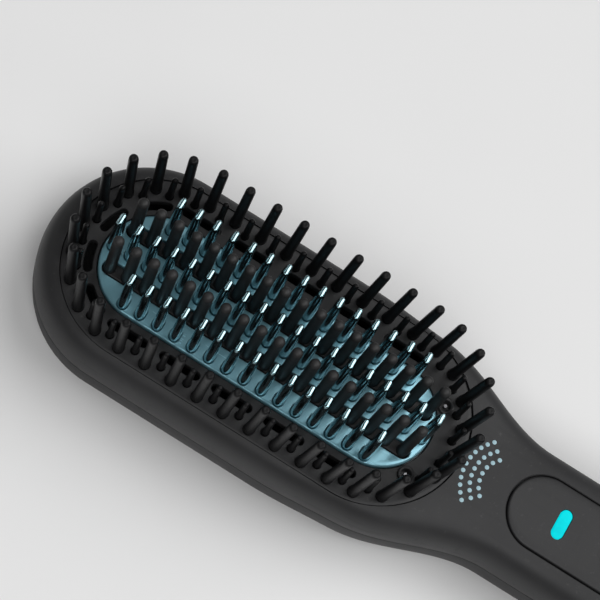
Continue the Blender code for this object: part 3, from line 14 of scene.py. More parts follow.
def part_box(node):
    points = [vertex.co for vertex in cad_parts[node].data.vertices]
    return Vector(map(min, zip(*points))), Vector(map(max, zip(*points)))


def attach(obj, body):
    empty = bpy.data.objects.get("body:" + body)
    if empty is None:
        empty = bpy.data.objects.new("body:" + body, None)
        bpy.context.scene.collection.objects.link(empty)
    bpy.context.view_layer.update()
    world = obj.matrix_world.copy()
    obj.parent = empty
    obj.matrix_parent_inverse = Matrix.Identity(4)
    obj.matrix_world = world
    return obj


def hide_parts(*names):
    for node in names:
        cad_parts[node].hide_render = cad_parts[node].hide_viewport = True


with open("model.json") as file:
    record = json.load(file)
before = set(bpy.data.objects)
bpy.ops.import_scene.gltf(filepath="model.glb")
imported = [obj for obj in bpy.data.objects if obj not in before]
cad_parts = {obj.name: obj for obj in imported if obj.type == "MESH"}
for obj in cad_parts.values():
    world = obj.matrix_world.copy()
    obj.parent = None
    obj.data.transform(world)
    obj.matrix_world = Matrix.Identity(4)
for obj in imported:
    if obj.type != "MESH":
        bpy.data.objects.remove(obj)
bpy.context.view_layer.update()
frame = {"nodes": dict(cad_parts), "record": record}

# Body form
BODY_FRONT_X = -0.1400
BODY_REAR_X = 0.1280
HEAD_HALF_WIDTH = 0.0285
HANDLE_HALF_WIDTH = 0.0167
TIP_CAP_LENGTH = 0.0285
END_CAP_LENGTH = 0.0165
TIP_CAP_X = BODY_FRONT_X + TIP_CAP_LENGTH
END_CAP_X = BODY_REAR_X - END_CAP_LENGTH
TAPER_START_X = -0.0625
TAPER_END_X = -0.0325
TAPER_DROP = 0.0017
NECK_START_X = -0.0399
NECK_END_X = -0.0019
DECK_Z = 0.0270
SPLIT_Z = 0.0140
EDGE_WIDTH = 0.0085
EDGE_POWER = 3.6
WALL = 0.0020
CROWN = 0.0017
CROWN_START_X = -0.0300
CROWN_END_X = -0.0050
CAP_JOINT_X = 0.0980
JOINT_GAP = 0.0003

# Bed, lip and air slots
BED_X = -0.0779
BED_HALF_STRAIGHT = 0.0320
BED_RADIUS = 0.02415
BED_TOP_Z = 0.0264
BED_BOTTOM_Z = 0.0245
BED_GAP = 0.0002
LIP_TOP_Z = 0.0224
LIP_THICKNESS = 0.0020
LIP_INNER_RADIUS = 0.0222
LIP_OUTER_RADIUS = 0.0267
SLOT_TRACK_RADIUS = 0.0174
SLOT_HALF_WIDTH = 0.0011
SLOT_HALF_LENGTH = 0.0057
SLOT_HALF_ANGLE = 0.24
SIDE_SLOTS = 5
TIP_SLOT_STEPS = (2, 4, 6, 8)
ION_TRACK_RADIUS = 0.0175
ION_ANGLE = math.pi * 0.20
ION_HOLE_RADIUS = 0.0019

# Bristles
TALL_SPACING = 0.0075
TALL_PER_SIDE = 9
TALL_PER_CAP = 9
TALL_OVERRUN = BED_HALF_STRAIGHT - TALL_SPACING * (TALL_PER_SIDE - 1) / 2
TALL_TRACK_RADIUS = 0.0218
TALL_TOP_Z = 0.0506
TALL_LEAN_SHARE = 0.025
SIDE_LEAN = 0.0005
SHORT_TRACK_RADIUS = 0.0202
SHORT_TOP_Z = 0.0390
TALL_HOLE_RADIUS = 0.0014
SHORT_HOLE_RADIUS = 0.00105
CARRIER_INNER_RADIUS = 0.0189
CARRIER_OUTER_RADIUS = 0.0234
CARRIER_BOTTOM_Z = 0.0227
CARRIER_THICKNESS = 0.0015

# Plate, teeth and posts
PLATE_HALF_STRAIGHT = 0.0330
PLATE_RADIUS = 0.0140
PLATE_TOP_Z = 0.0270
PLATE_THICKNESS = 0.0025
TOOTH_SPACING = 0.0050
TOOTH_ROW_SPACING = 0.0114
OUTER_ROW_TEETH = 15
MIDDLE_ROW_TEETH = 19
TOOTH_HEIGHT = 0.0200
TOOTH_HALF_WIDTH = 0.0013
TOOTH_HALF_SIDE = 0.00065
TOOTH_GAP = 0.00004
POSTS_PER_ROW = 18
POST_HEIGHT = 0.0226
POST_STRIP_RADIUS = 0.0017
POST_SLOT_RADIUS = 0.0020
POST_STRIP_DROP = 0.0003
POST_BAR_TOP_Z = 0.0242

# Controls
PANEL_START_X = -0.00665
PANEL_END_X = 0.0640
PANEL_RADIUS = 0.0096
PANEL_THICKNESS = 0.0018
PANEL_PROUD = 0.0001
PANEL_TOP_Z = DECK_Z + PANEL_PROUD
PANEL_FLOOR_Z = PANEL_TOP_Z - PANEL_THICKNESS - JOINT_GAP
PANEL_BACKING = 0.0025
LED_X = 0.0079
LED_HALF_LENGTH = 0.0040
LED_HALF_WIDTH = 0.00155
POWER_X = 0.0255
POWER_RADIUS = 0.0052
HEAT_UP_X = 0.0400
HEAT_DOWN_X = 0.0505
HEAT_HALF_LENGTH = 0.0048
HEAT_HALF_WIDTH = 0.0030
BUTTON_PROUD = 0.0009
BUTTON_GAP = 0.0003
BUTTON_LIFT = 0.0009
LENS_GAP = 0.00012
LENS_STEM_HALF_LENGTH = 0.0024
LENS_STEM_HALF_WIDTH = 0.0009
SIGN_HALF_LENGTH = 0.0012
SIGN_HALF_WIDTH = 0.00019
SIGN_RING_RADIUS = 0.0020
SIGN_SINK = 0.0003
SIGN_RISE = 0.0001
POWER_OPENING = 0.00062
POWER_BAR_START = 0.0025
POWER_BAR_END = 0.0004
STEM_RADIUS = 0.0014
STEM_FOOT_RADIUS = 0.0022
DOT_RADIUS = 0.00057
DOT_CENTRE_X = -0.0079
DOT_CENTRE_Y = 0.0003
DOT_ARCS = ((0.0123, 11), (0.0099, 9), (0.0076, 7))
DOT_SPREAD = math.radians(44.5)

# Rear end
AIR_AXIS_Z = 0.0135
INTAKE_SLOTS = 5
INTAKE_START_X = 0.1035
INTAKE_SPACING = 0.0036
INTAKE_HALF_WIDTH = 0.0008
INTAKE_HALF_HEIGHT = 0.0048
GLAND_SEAT_X = 0.1286
GLAND_END_X = 0.1400
GLAND_BORE_RADIUS = 0.0021
CAP_BORE_RADIUS = 0.0056
GLAND_START_X = 0.0928
GLAND_NECK_RADIUS = 0.0032
GLAND_FLANGE_RADIUS = 0.0052
RIB_RADIUS = 0.0044
GROOVE_RADIUS = 0.0040
RIB_SPACING = 0.0018
SCREW_HEAD_Z = 0.0008
SCREW_LENGTH = 0.0169
SCREW_RADIUS = 0.0010
SCREW_HEAD_RADIUS = 0.0022
RECESS_RADIUS = 0.0025
CROSS_HALF_LENGTH = 0.0013
CROSS_HALF_WIDTH = 0.00026
SCREWS = {
    "screw_tip": (-0.1335, 0.0),
    "screw_neck_far": (-0.0180, 0.0145),
    "screw_neck_near": (-0.0180, -0.0145),
    "screw_handle_far": (0.0590, 0.0125),
    "screw_handle_near": (0.0590, -0.0125),
}

# Working values: the sharpest angle that is smoothed, and how far cutting blocks and cutters reach
SMOOTH_ANGLE = math.radians(32)
FAR = 0.1
CUTTER_TOP_Z = DECK_Z + 0.004


# Handling pieces

def pick(piece):
    """Select one piece alone and make it the active one."""
    bpy.ops.object.select_all(action="DESELECT")
    piece.select_set(True)
    bpy.context.view_layer.objects.active = piece


def settle(piece, name="work"):
    """Name a piece and put its place into its mesh."""
    pick(piece)
    bpy.ops.object.transform_apply(location=True, rotation=True, scale=True)
    piece.name = name
    piece.data.name = name
    return piece


def drop(piece):
    bpy.data.objects.remove(piece, do_unlink=True)


def carve(piece, tool, operation="DIFFERENCE"):
    """Cut or join a piece with another, which is used up."""
    pick(piece)
    step = piece.modifiers.new("carve", "BOOLEAN")
    step.operation = operation
    step.solver = "EXACT"
    step.object = tool
    bpy.ops.object.modifier_apply(modifier=step.name)
    drop(tool)
    return piece


def smooth(piece):
    pick(piece)
    bpy.ops.object.shade_smooth_by_angle(angle=SMOOTH_ANGLE)
    return piece


def copy_of(piece, x, y, z=0.0):
    """A copy with its own mesh, set at a place."""
    twin = piece.copy()
    twin.data = piece.data.copy()
    twin.location = (x, y, z)
    bpy.context.scene.collection.objects.link(twin)
    return twin


def joined(pieces, name="work"):
    pick(pieces[0])
    for piece in pieces:
        piece.select_set(True)
    bpy.ops.object.join()
    return settle(pieces[0], name)


def spread(pattern, places, name="work"):
    """Copies of a pattern piece at all its places, joined into one piece; the pattern is used up."""
    twins = [copy_of(pattern, *place) for place in places]
    drop(pattern)
    return joined(twins, name)


def dress(piece, body, slot, *nodes, look=None):
    """Hang a finished piece on its body, with the CAD nodes that it stands for.

    Its look is the material of its slot, unless another one is named.
    """
    piece.data.materials.clear()
    piece.data.materials.append(MATERIALS[look or slot])
    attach(piece, body)
    if nodes:
        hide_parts(*nodes)


def finish(piece, name, body, slot, *nodes, look=None):
    """Smooth, name and dress one piece."""
    smooth(piece)
    dress(settle(piece, name), body, slot, *nodes, look=look)


def finish_copies(pattern, copies, slot, look=None):
    """A piece of the brush for each (x, y, name, node) in copies; the pattern is used up."""
    smooth(pattern)
    for x, y, name, node in copies:
        dress(settle(copy_of(pattern, x, y), name), "brush", slot, node, look=look)
    drop(pattern)


# Shaping

def lay_ring(piece, ring):
    """Move the selected vertices onto a ring of points, each by its number round the ring."""
    mesh = bmesh.from_edit_mesh(piece.data)
    order = mesh.verts.layers.int["order"]
    for vert in mesh.verts:
        if vert.select:
            vert.co = ring[vert[order]]
    bmesh.update_edit_mesh(piece.data)


def skin(rings):
    """A closed solid: a filled circle is laid on the first ring and extruded onto each next one."""
    bpy.ops.mesh.primitive_circle_add(vertices=len(rings[0]), radius=HEAD_HALF_WIDTH, fill_type="NGON")
    piece = bpy.context.object
    numbers = piece.data.attributes.new("order", "INT", "POINT")
    for i in range(len(rings[0])):
        numbers.data[i].value = i
    bpy.ops.object.mode_set(mode="EDIT")
    bpy.ops.mesh.select_mode(type="VERT")
    bpy.ops.mesh.select_all(action="SELECT")
    lay_ring(piece, rings[0])
    for ring in rings[1:]:
        bpy.ops.mesh.extrude_region_move()
        lay_ring(piece, ring)
    bpy.ops.mesh.select_all(action="SELECT")
    bpy.ops.mesh.normals_make_consistent(inside=False)
    bpy.ops.object.mode_set(mode="OBJECT")
    piece.data.attributes.remove(piece.data.attributes["order"])
    return piece


def turned(profile, sides):
    """A round upright piece; profile gives its (radius, height) from one end to the other."""
    return skin(levels_on(circle(0.0, 0.0, 0.0, sides), profile))


def block(x0, x1, y0, y1, z0, z1):
    """A straight-edged piece or cutter."""
    middle = ((x0 + x1) / 2, (y0 + y1) / 2, (z0 + z1) / 2)
    bpy.ops.mesh.primitive_cube_add(size=1, location=middle)
    piece = bpy.context.object
    piece.scale = (x1 - x0, y1 - y0, z1 - z0)
    return settle(piece)


# Outlines: each is a function of how far it grows, and gives a list of flat points, anticlockwise

def arc(x, y, radius, start, turn, count):
    """Points round a circle from a starting angle, with the same turn from each to the next."""
    angles = [start + turn * i for i in range(count)]
    return [(x + radius * math.cos(angle), y + radius * math.sin(angle)) for angle in angles]


def circle(x, y, radius, sides):
    return lambda grow=0.0: arc(x, y, radius + grow, math.pi / 2, 2 * math.pi / sides, sides)


def pill(ends, radius, steps):
    """Two half circles joined by straight sides; ends are (x, y, starting angle)."""
    def outline_at(grow=0.0):
        points = []
        for x, y, start in ends:
            points += arc(x, y, radius + grow, start, math.pi / steps, steps + 1)
        return points

    return outline_at


def stadium(x, half_straight, radius, steps, y=0.0):
    """A pill that is long along the brush."""
    ends = ((x + half_straight, y, -math.pi / 2), (x - half_straight, y, math.pi / 2))
    return pill(ends, radius, steps)


def upright_pill(x, half_length, half_width, steps=16, y=0.0):
    """A pill that is long across the brush."""
    straight = half_length - half_width
    return pill(((x, y + straight, 0.0), (x, y - straight, math.pi)), half_width, steps)


def levels_on(outline_at, levels):
    """Rings for skin(): each level is (how far the outline grows, height)."""
    return [[(x, y, z) for x, y in outline_at(grow)] for grow, z in levels]


def smooth_share(value, low, high):
    """How far a value is from low to high, from 0 to 1, easing in and out."""
    share = min(max((value - low) / (high - low), 0.0), 1.0)
    return share * share * (3 - 2 * share)


def crown_drop(x, y):
    """How far the handle's top falls away from its middle line."""
    return CROWN * smooth_share(x, CROWN_START_X, CROWN_END_X) * (y / HANDLE_HALF_WIDTH) ** 2


def body_half_width(x):
    head = HEAD_HALF_WIDTH - TAPER_DROP * smooth_share(x, TAPER_START_X, TAPER_END_X)
    neck_drop = HEAD_HALF_WIDTH - TAPER_DROP - HANDLE_HALF_WIDTH
    return head - neck_drop * smooth_share(x, NECK_START_X, NECK_END_X)


def side_stations():
    """Places along one side of the body, closer where it curves."""
    stretches = (
        (TIP_CAP_X, TAPER_START_X, 8),
        (TAPER_START_X, NECK_START_X, 8),
        (NECK_START_X, NECK_END_X, 20),
        (NECK_END_X, END_CAP_X, 14),
    )
    stations = [TIP_CAP_X]
    for low, high, steps in stretches:
        stations += [low + (high - low) * i / steps for i in range(1, steps + 1)]
    return stations


def round_end(x, length, reach, start, steps):
    """Points round an elliptical end, between its first and its last."""
    angles = [start + math.pi * i / steps for i in range(1, steps)]
    return [(x + length * math.cos(angle), reach * math.sin(angle)) for angle in angles]


def body_outline():
    stations = side_stations()
    near = [(x, -body_half_width(x)) for x in stations]
    far = [(x, body_half_width(x)) for x in reversed(stations)]
    end_cap = round_end(END_CAP_X, END_CAP_LENGTH, HANDLE_HALF_WIDTH, -math.pi / 2, 28)
    tip_cap = round_end(TIP_CAP_X, TIP_CAP_LENGTH, HEAD_HALF_WIDTH, math.pi / 2, 44)
    return near + end_cap + far + tip_cap


def inset(outline, distance):
    """The outline moved inwards, point by point."""
    moved = []
    befores = outline[-1:] + outline[:-1]
    afters = outline[1:] + outline[:1]
    for (x, y), (x0, y0), (x1, y1) in zip(outline, befores, afters):
        length = math.hypot(x1 - x0, y1 - y0)
        moved.append((x - distance * (y1 - y0) / length, y + distance * (x1 - x0) / length))
    return moved


# Body

def face_z(x, y, far_z):
    """The height of the body's top face, which is crowned, or of its bottom face."""
    return far_z - crown_drop(x, y) if far_z > SPLIT_Z else far_z


def edge_rings(outline, shrink, far_z, steps=12):
    """Rings up or down the rounded edge, from the widest place to a flat face at far_z."""
    rings = []
    for i in range(1, steps + 1):
        turn = math.pi / 2 * i / steps
        share = 1 - math.cos(turn) ** (2 / EDGE_POWER)
        rise = math.sin(turn) ** (2 / EDGE_POWER)
        ring = inset(outline, (EDGE_WIDTH - shrink) * share)
        rings.append([(x, y, SPLIT_Z + (face_z(x, y, far_z) - SPLIT_Z) * rise) for x, y in ring])
    return rings


def face_rings(outline, shrink, far_z):
    """Rings that close a face in towards the middle line, so that it can be crowned."""
    rings = []
    for share in (0.82, 0.62, 0.42, 0.22, 0.06):
        ring = [(x, y * share) for x, y in inset(outline, EDGE_WIDTH - shrink)]
        rings.append([(x, y, face_z(x, y, far_z)) for x, y in ring])
    return rings


def side_rings(outline, shrink, far_z):
    return edge_rings(outline, shrink, far_z) + face_rings(outline, shrink, far_z)


def half_body(upper, shrink, start_levels):
    """One half of the body as a solid; start_levels are (inset, height) of the rings at its open edge."""
    outline = inset(body_outline(), shrink)
    rings = [[(x, y, z) for x, y in inset(outline, distance)] for distance, z in start_levels]
    return skin(rings + side_rings(outline, shrink, DECK_Z - shrink if upper else shrink))


def whole_body(shrink):
    """The whole body as one solid, from the bottom's middle line up to the top's."""
    outline = inset(body_outline(), shrink)
    widest = [(x, y, SPLIT_Z) for x, y in outline]
    lower = side_rings(outline, shrink, shrink)
    return skin(lower[::-1] + [widest] + side_rings(outline, shrink, DECK_Z - shrink))


def hollow_half(upper):
    """One shell half, hollow, with a fine chamfer along the seam."""
    side = 1 if upper else -1
    edge_z = SPLIT_Z + side * JOINT_GAP / 2
    chamfer = ((0.0002, edge_z), (0.00005, edge_z + side * 0.0001), (0.0, edge_z + side * 0.00025))
    shell = half_body(upper, 0.0, chamfer)
    carve(shell, half_body(upper, WALL, ((0.0, SPLIT_Z - side * WALL),)))
    carve(shell, block(CAP_JOINT_X - JOINT_GAP / 2, 2 * BODY_REAR_X, -FAR, FAR, -FAR, FAR))
    return shell


def flared_cutter(outline_at, top_of, flare, low=0.0):
    """A cutter from low up, whose mouth opens out, so that the edge it leaves is rounded."""
    levels = (
        (0.0, None),
        (0.0, -1.6 * flare),
        (0.2 * flare, -0.75 * flare),
        (flare, 0.0),
        (1.6 * flare, flare),
    )
    rings = []
    for grow, depth in levels:
        outline = outline_at(grow)
        rings.append([(x, y, low if depth is None else top_of(x, y) + depth) for x, y in outline])
    rings.append([(x, y, CUTTER_TOP_Z) for x, y in outline])
    return skin(rings)


def crowned_at(z):
    """A face whose middle line is at a height and whose sides fall away with the handle's top."""
    return lambda x, y: z - crown_drop(x, y)


def flat_at(z):
    """A face at one height."""
    return lambda x, y: z


def plain_solid(outline_at, low, high):
    return skin(levels_on(outline_at, ((0.0, low), (0.0, high))))


def under_bed(radius, low, high):
    """A plain-sided solid over the bed's stadium, grown to a radius."""
    return plain_solid(stadium(BED_X, BED_HALF_STRAIGHT, radius, 36), low, high)


def bed_outline(gap=0.0):
    return stadium(BED_X, BED_HALF_STRAIGHT, BED_RADIUS + gap, 36)


def plate_outline(gap=0.0):
    return stadium(BED_X, PLATE_HALF_STRAIGHT, PLATE_RADIUS + gap, 30)


def panel_outline(gap=0.0):
    centre = (PANEL_START_X + PANEL_END_X) / 2
    half = (PANEL_END_X - PANEL_START_X) / 2 - PANEL_RADIUS
    return stadium(centre, half, PANEL_RADIUS + gap, 24)


def make_upper_shell():
    shell = hollow_half(True)
    deck_at = crowned_at(DECK_Z)
    carve(shell, flared_cutter(bed_outline(BED_GAP), deck_at, 0.00014, LIP_TOP_Z))
    lip = under_bed(LIP_OUTER_RADIUS, LIP_TOP_Z - LIP_THICKNESS, LIP_TOP_Z)
    carve(lip, under_bed(LIP_INNER_RADIUS, 0.0, DECK_Z))
    carve(shell, lip, "UNION")
    backing = plain_solid(panel_outline(PANEL_BACKING), PANEL_FLOOR_Z - WALL, PANEL_FLOOR_Z)
    carve(shell, backing, "UNION")
    carve(shell, flared_cutter(panel_outline(JOINT_GAP), deck_at, 0.0003, PANEL_FLOOR_Z))
    finish(shell, "upper_shell", "brush", "shell", "front_shell")


def make_lower_shell():
    shell = hollow_half(False)
    mouth = RECESS_RADIUS + 0.0003
    pattern = turned(((mouth, -0.002), (mouth, 0.0), (RECESS_RADIUS, 0.0003), (RECESS_RADIUS, 0.0027)), 32)
    carve(shell, spread(pattern, SCREWS.values()))
    finish(shell, "lower_shell", "brush", "shell", "back_shell")


def make_rear_cap():
    cap = whole_body(0.0)
    carve(cap, block(2 * BODY_FRONT_X, CAP_JOINT_X + JOINT_GAP / 2, -FAR, FAR, -FAR, FAR))
    carve(cap, whole_body(WALL))
    slot = stadium(0.0, INTAKE_HALF_HEIGHT - INTAKE_HALF_WIDTH, INTAKE_HALF_WIDTH, 8)()
    slots = []
    for i in range(INTAKE_SLOTS):
        x = INTAKE_START_X + i * INTAKE_SPACING
        slots.append(skin([[(x + py, y, AIR_AXIS_Z + px) for px, py in slot] for y in (-FAR, FAR)]))
    carve(cap, joined(slots))
    bore = (
        (CAP_BORE_RADIUS, END_CAP_X),
        (CAP_BORE_RADIUS, BODY_REAR_X - 0.0006),
        (CAP_BORE_RADIUS + 0.0002, BODY_REAR_X - 0.0003),
        (CAP_BORE_RADIUS + 0.0008, BODY_REAR_X + 0.0001),
        (CAP_BORE_RADIUS + 0.0008, GLAND_END_X),
    )
    carve(cap, lay_along_x(turned(bore, 40)))
    finish(cap, "rear_cap", "cap", "shell", "inlet_cap")


def lay_along_x(piece):
    """Turn an upright piece to lie along X on the air axis."""
    piece.rotation_euler = (0, math.pi / 2, 0)
    piece.location = (0, 0, AIR_AXIS_Z)
    return settle(piece)


# Head

def track_point(step, radius, end):
    """A place on a round end; step counts bristle spacings from the near side, radius picks the track."""
    whole = 2 * TALL_OVERRUN + math.pi * TALL_TRACK_RADIUS
    along = whole * step / (TALL_PER_CAP + 1)
    if along < TALL_OVERRUN:
        return BED_X + end * (BED_HALF_STRAIGHT - TALL_OVERRUN + along), -radius
    if along > whole - TALL_OVERRUN:
        return BED_X + end * (BED_HALF_STRAIGHT - along + whole - TALL_OVERRUN), radius
    angle = -math.pi / 2 + (along - TALL_OVERRUN) / TALL_TRACK_RADIUS
    return BED_X + end * (BED_HALF_STRAIGHT + radius * math.cos(angle)), radius * math.sin(angle)


def row_places(count, spacing, y):
    return [(BED_X + spacing * (i - (count - 1) / 2), y) for i in range(count)]


def end_places(end, radius, count, start):
    return [track_point(i + start, radius, end) for i in range(count)]


def bristle_groups():
    """Tall and short places of each moulding, with the node that it stands for."""
    groups = []
    for side, node in ((1, "bristles_far"), (-1, "bristles_near")):
        tall = row_places(TALL_PER_SIDE, TALL_SPACING, side * TALL_TRACK_RADIUS)
        short = row_places(TALL_PER_SIDE - 1, TALL_SPACING, side * SHORT_TRACK_RADIUS)
        groups.append((node, tall, short))
    for end, node in ((-1, "bristles_tip"), (1, "bristles_neck")):
        tall = end_places(end, TALL_TRACK_RADIUS, TALL_PER_CAP, 1)
        short = end_places(end, SHORT_TRACK_RADIUS, TALL_PER_CAP + 1, 0.5)
        groups.append((node, tall, short))
    return groups


def tip_slot(step):
    """An air slot bent round the tip end, with round ends."""
    x, y = track_point(step, SLOT_TRACK_RADIUS, -1)
    centre_x = BED_X - BED_HALF_STRAIGHT
    middle = math.atan2(y, centre_x - x)
    half_angle = SLOT_HALF_ANGLE - SLOT_HALF_WIDTH / SLOT_TRACK_RADIUS

    def outline_at(grow=0.0):
        width = SLOT_HALF_WIDTH + grow
        bends = []
        for side in (1, -1):
            for i in range(9):
                bends.append((side * width, middle + side * half_angle * (i / 4 - 1)))
            for i in range(1, 6):
                angle = math.pi * i / 6
                turn = half_angle + width * math.sin(angle) / SLOT_TRACK_RADIUS
                bends.append((side * width * math.cos(angle), middle + side * turn))
        polar = [(SLOT_TRACK_RADIUS + out, turn) for out, turn in bends]
        return [(centre_x - radius * math.cos(turn), radius * math.sin(turn)) for radius, turn in polar]

    return outline_at


def make_bed():
    levels = (
        (-0.0001, BED_BOTTOM_Z),
        (0.0, BED_BOTTOM_Z + 0.0002),
        (0.0, BED_TOP_Z - 0.0002),
        (-0.00005, BED_TOP_Z - 0.00006),
        (-0.00018, BED_TOP_Z),
    )
    bed = skin(levels_on(bed_outline(), levels))
    outlines = [plate_outline(JOINT_GAP)]
    for i in range(SIDE_SLOTS):
        x = BED_X + TALL_SPACING * (2 * i - SIDE_SLOTS + 1)
        for y in (-SLOT_TRACK_RADIUS, SLOT_TRACK_RADIUS):
            outlines.append(stadium(x, SLOT_HALF_LENGTH - SLOT_HALF_WIDTH, SLOT_HALF_WIDTH, 8, y))
    outlines += [tip_slot(step) for step in TIP_SLOT_STEPS]
    for node, tall, short in bristle_groups():
        outlines += [circle(x, y, TALL_HOLE_RADIUS, 16) for x, y in tall]
        outlines += [circle(x, y, SHORT_HOLE_RADIUS, 12) for x, y in short]
    outlines += [circle(x, y, ION_HOLE_RADIUS, 20) for x, y in ion_places()]
    tools = [flared_cutter(outline_at, flat_at(BED_TOP_Z), 0.0002) for outline_at in outlines]
    carve(bed, joined(tools))
    finish(bed, "bed", "brush", "bed", "bristle_bed")


def ion_places():
    x = BED_X + BED_HALF_STRAIGHT + ION_TRACK_RADIUS * math.cos(ION_ANGLE)
    y = ION_TRACK_RADIUS * math.sin(ION_ANGLE)
    return ((x, y), (x, -y))


def tall_bristle():
    """A boot-like foot, a tapering shaft and a flat end with a rounded rim and a slight dimple."""
    low = BED_TOP_Z
    high = TALL_TOP_Z
    return turned((
        (0.00120, CARRIER_BOTTOM_Z + CARRIER_THICKNESS / 2),
        (0.00125, low - 0.0002),
        (0.00142, low + 0.0002),
        (0.00155, low + 0.0008),
        (0.00156, low + 0.0016),
        (0.00146, low + 0.0025),
        (0.00138, low + 0.0034),
        (0.00133, (low + high) / 2),
        (0.00127, high - 0.0036),
        (0.00126, high - 0.0018),
        (0.00124, high - 0.0010),
        (0.00114, high - 0.0005),
        (0.00096, high - 0.00018),
        (0.00074, high - 0.00003),
        (0.00052, high),
        (0.00020, high - 0.00006),
    ), 16)


def short_bristle():
    """A thinner bristle with a round end."""
    low = BED_TOP_Z
    high = SHORT_TOP_Z
    return turned((
        (0.00082, CARRIER_BOTTOM_Z + CARRIER_THICKNESS / 2),
        (0.00086, low - 0.0001),
        (0.00100, low + 0.0003),
        (0.00098, low + 0.0008),
        (0.00090, low + 0.0014),
        (0.00084, (low + high) / 2),
        (0.00080, high - 0.0016),
        (0.00079, high - 0.0008),
        (0.00066, high - 0.0003),
        (0.00044, high - 0.00004),
        (0.00022, high),
    ), 12)


def leaning(piece, x, y):
    """Tilt a bristle a little outwards from its foot."""
    lean_x = TALL_LEAN_SHARE * (x - BED_X)
    lean_y = 0.0
    if abs(x - BED_X) < BED_HALF_STRAIGHT:
        lean_x += SIDE_LEAN
        lean_y = math.copysign(SIDE_LEAN, y)
    pick(piece)
    bpy.ops.object.mode_set(mode="EDIT")
    mesh = bmesh.from_edit_mesh(piece.data)
    for vert in mesh.verts:
        share = max(vert.co.z - BED_TOP_Z, 0.0) / (TALL_TOP_Z - BED_TOP_Z)
        vert.co.x += lean_x * share
        vert.co.y += lean_y * share
    bmesh.update_edit_mesh(piece.data)
    bpy.ops.object.mode_set(mode="OBJECT")
    return piece


def make_carrier(node):
    """The hidden strip that a moulding's bristles stand on; along the sides it takes its CAD solid's size,
    round the ends it follows the bed.
    """
    low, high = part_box(node)
    top = CARRIER_BOTTOM_Z + CARRIER_THICKNESS
    if node in ("bristles_far", "bristles_near"):
        return block(low.x, high.x, low.y, high.y, CARRIER_BOTTOM_Z, top)
    end = -1 if node == "bristles_tip" else 1
    strip = under_bed(CARRIER_OUTER_RADIUS, CARRIER_BOTTOM_Z, top)
    carve(strip, under_bed(CARRIER_INNER_RADIUS, 0.0, DECK_Z))
    joint_x = BED_X + end * (BED_HALF_STRAIGHT + JOINT_GAP / 2)
    low_x, high_x = sorted((joint_x, joint_x - end * FAR))
    carve(strip, block(low_x, high_x, -FAR, FAR, 0.0, DECK_Z))
    return strip


def make_bristles():
    tall_pattern = smooth(tall_bristle())
    short_pattern = smooth(short_bristle())
    for node, tall, short in bristle_groups():
        pieces = [make_carrier(node)]
        pieces += [leaning(copy_of(tall_pattern, x, y), x, y) for x, y in tall]
        pieces += [copy_of(short_pattern, x, y) for x, y in short]
        dress(joined(pieces, "nylon_" + node), "brush", "bristle", node)
    drop(tall_pattern)
    drop(short_pattern)


def tooth():
    """A polished blade with round ends, longer across the brush than along it."""
    low = PLATE_TOP_Z
    high = PLATE_TOP_Z + TOOTH_HEIGHT
    levels = (
        (TOOTH_HALF_WIDTH, TOOTH_HALF_SIDE, low - 0.0008),
        (TOOTH_HALF_WIDTH, TOOTH_HALF_SIDE, low + 0.0010),
        (0.00126, 0.00066, (low + high) / 2),
        (0.00116, 0.00070, high - 0.0055),
        (0.00104, 0.00078, high - 0.0032),
        (0.00090, 0.00086, high - 0.0017),
        (0.00078, 0.00094, high - 0.0009),
        (0.00066, 0.00098, high - 0.00042),
        (0.00050, 0.00102, high - 0.00016),
        (0.00034, 0.00104, high - 0.00004),
        (0.00016, 0.00104, high),
    )
    rings = []
    for radius, side, z in levels:
        rings.append([(x, y, z) for x, y in upright_pill(0.0, side + radius, radius)()])
    return smooth(skin(rings))


def make_plate():
    levels = (
        (-0.0002, PLATE_TOP_Z - PLATE_THICKNESS),
        (0.0, PLATE_TOP_Z - PLATE_THICKNESS + 0.0003),
        (0.0, PLATE_TOP_Z - 0.0005),
        (-0.00012, PLATE_TOP_Z - 0.0002),
        (-0.0003, PLATE_TOP_Z - 0.00006),
        (-0.0006, PLATE_TOP_Z),
    )
    plate = skin(levels_on(plate_outline(), levels))
    top_at = flat_at(PLATE_TOP_Z)
    tools = []
    for y in (-TOOTH_ROW_SPACING / 2, TOOTH_ROW_SPACING / 2):
        tools.append(flared_cutter(strip_outline(y, POST_SLOT_RADIUS), top_at, 0.0002))
    dish = TOOTH_HALF_WIDTH + TOOTH_GAP
    for x, y in tooth_places():
        outline_at = upright_pill(x, TOOTH_HALF_SIDE + dish, dish, 12, y)
        tools.append(flared_cutter(outline_at, top_at, 0.00026))
    carve(plate, joined(tools))
    finish(plate, "pale_plate", "brush", "plate", "heated_plate")


def tooth_places():
    places = row_places(MIDDLE_ROW_TEETH, TOOTH_SPACING, 0.0)
    for y in (-TOOTH_ROW_SPACING, TOOTH_ROW_SPACING):
        places += row_places(OUTER_ROW_TEETH, TOOTH_SPACING, y)
    return places


def make_teeth():
    teeth = spread(tooth(), tooth_places(), "polished_teeth")
    dress(teeth, "brush", "plate", "heated_plate", look="teeth")


def strip_outline(y, radius):
    return stadium(BED_X, TOOTH_SPACING * (POSTS_PER_ROW - 1) / 2, radius, 10, y)


def post():
    """A thick tapering post whose round end swells a little."""
    low = PLATE_TOP_Z
    high = PLATE_TOP_Z + POST_HEIGHT
    return turned((
        (0.00160, low - 0.0010),
        (0.00160, low - 0.0001),
        (0.00154, low + 0.0006),
        (0.00142, high - 0.0042),
        (0.00138, high - 0.0030),
        (0.00144, high - 0.0020),
        (0.00140, high - 0.0011),
        (0.00118, high - 0.0005),
        (0.00076, high - 0.0001),
        (0.00030, high),
    ), 18)


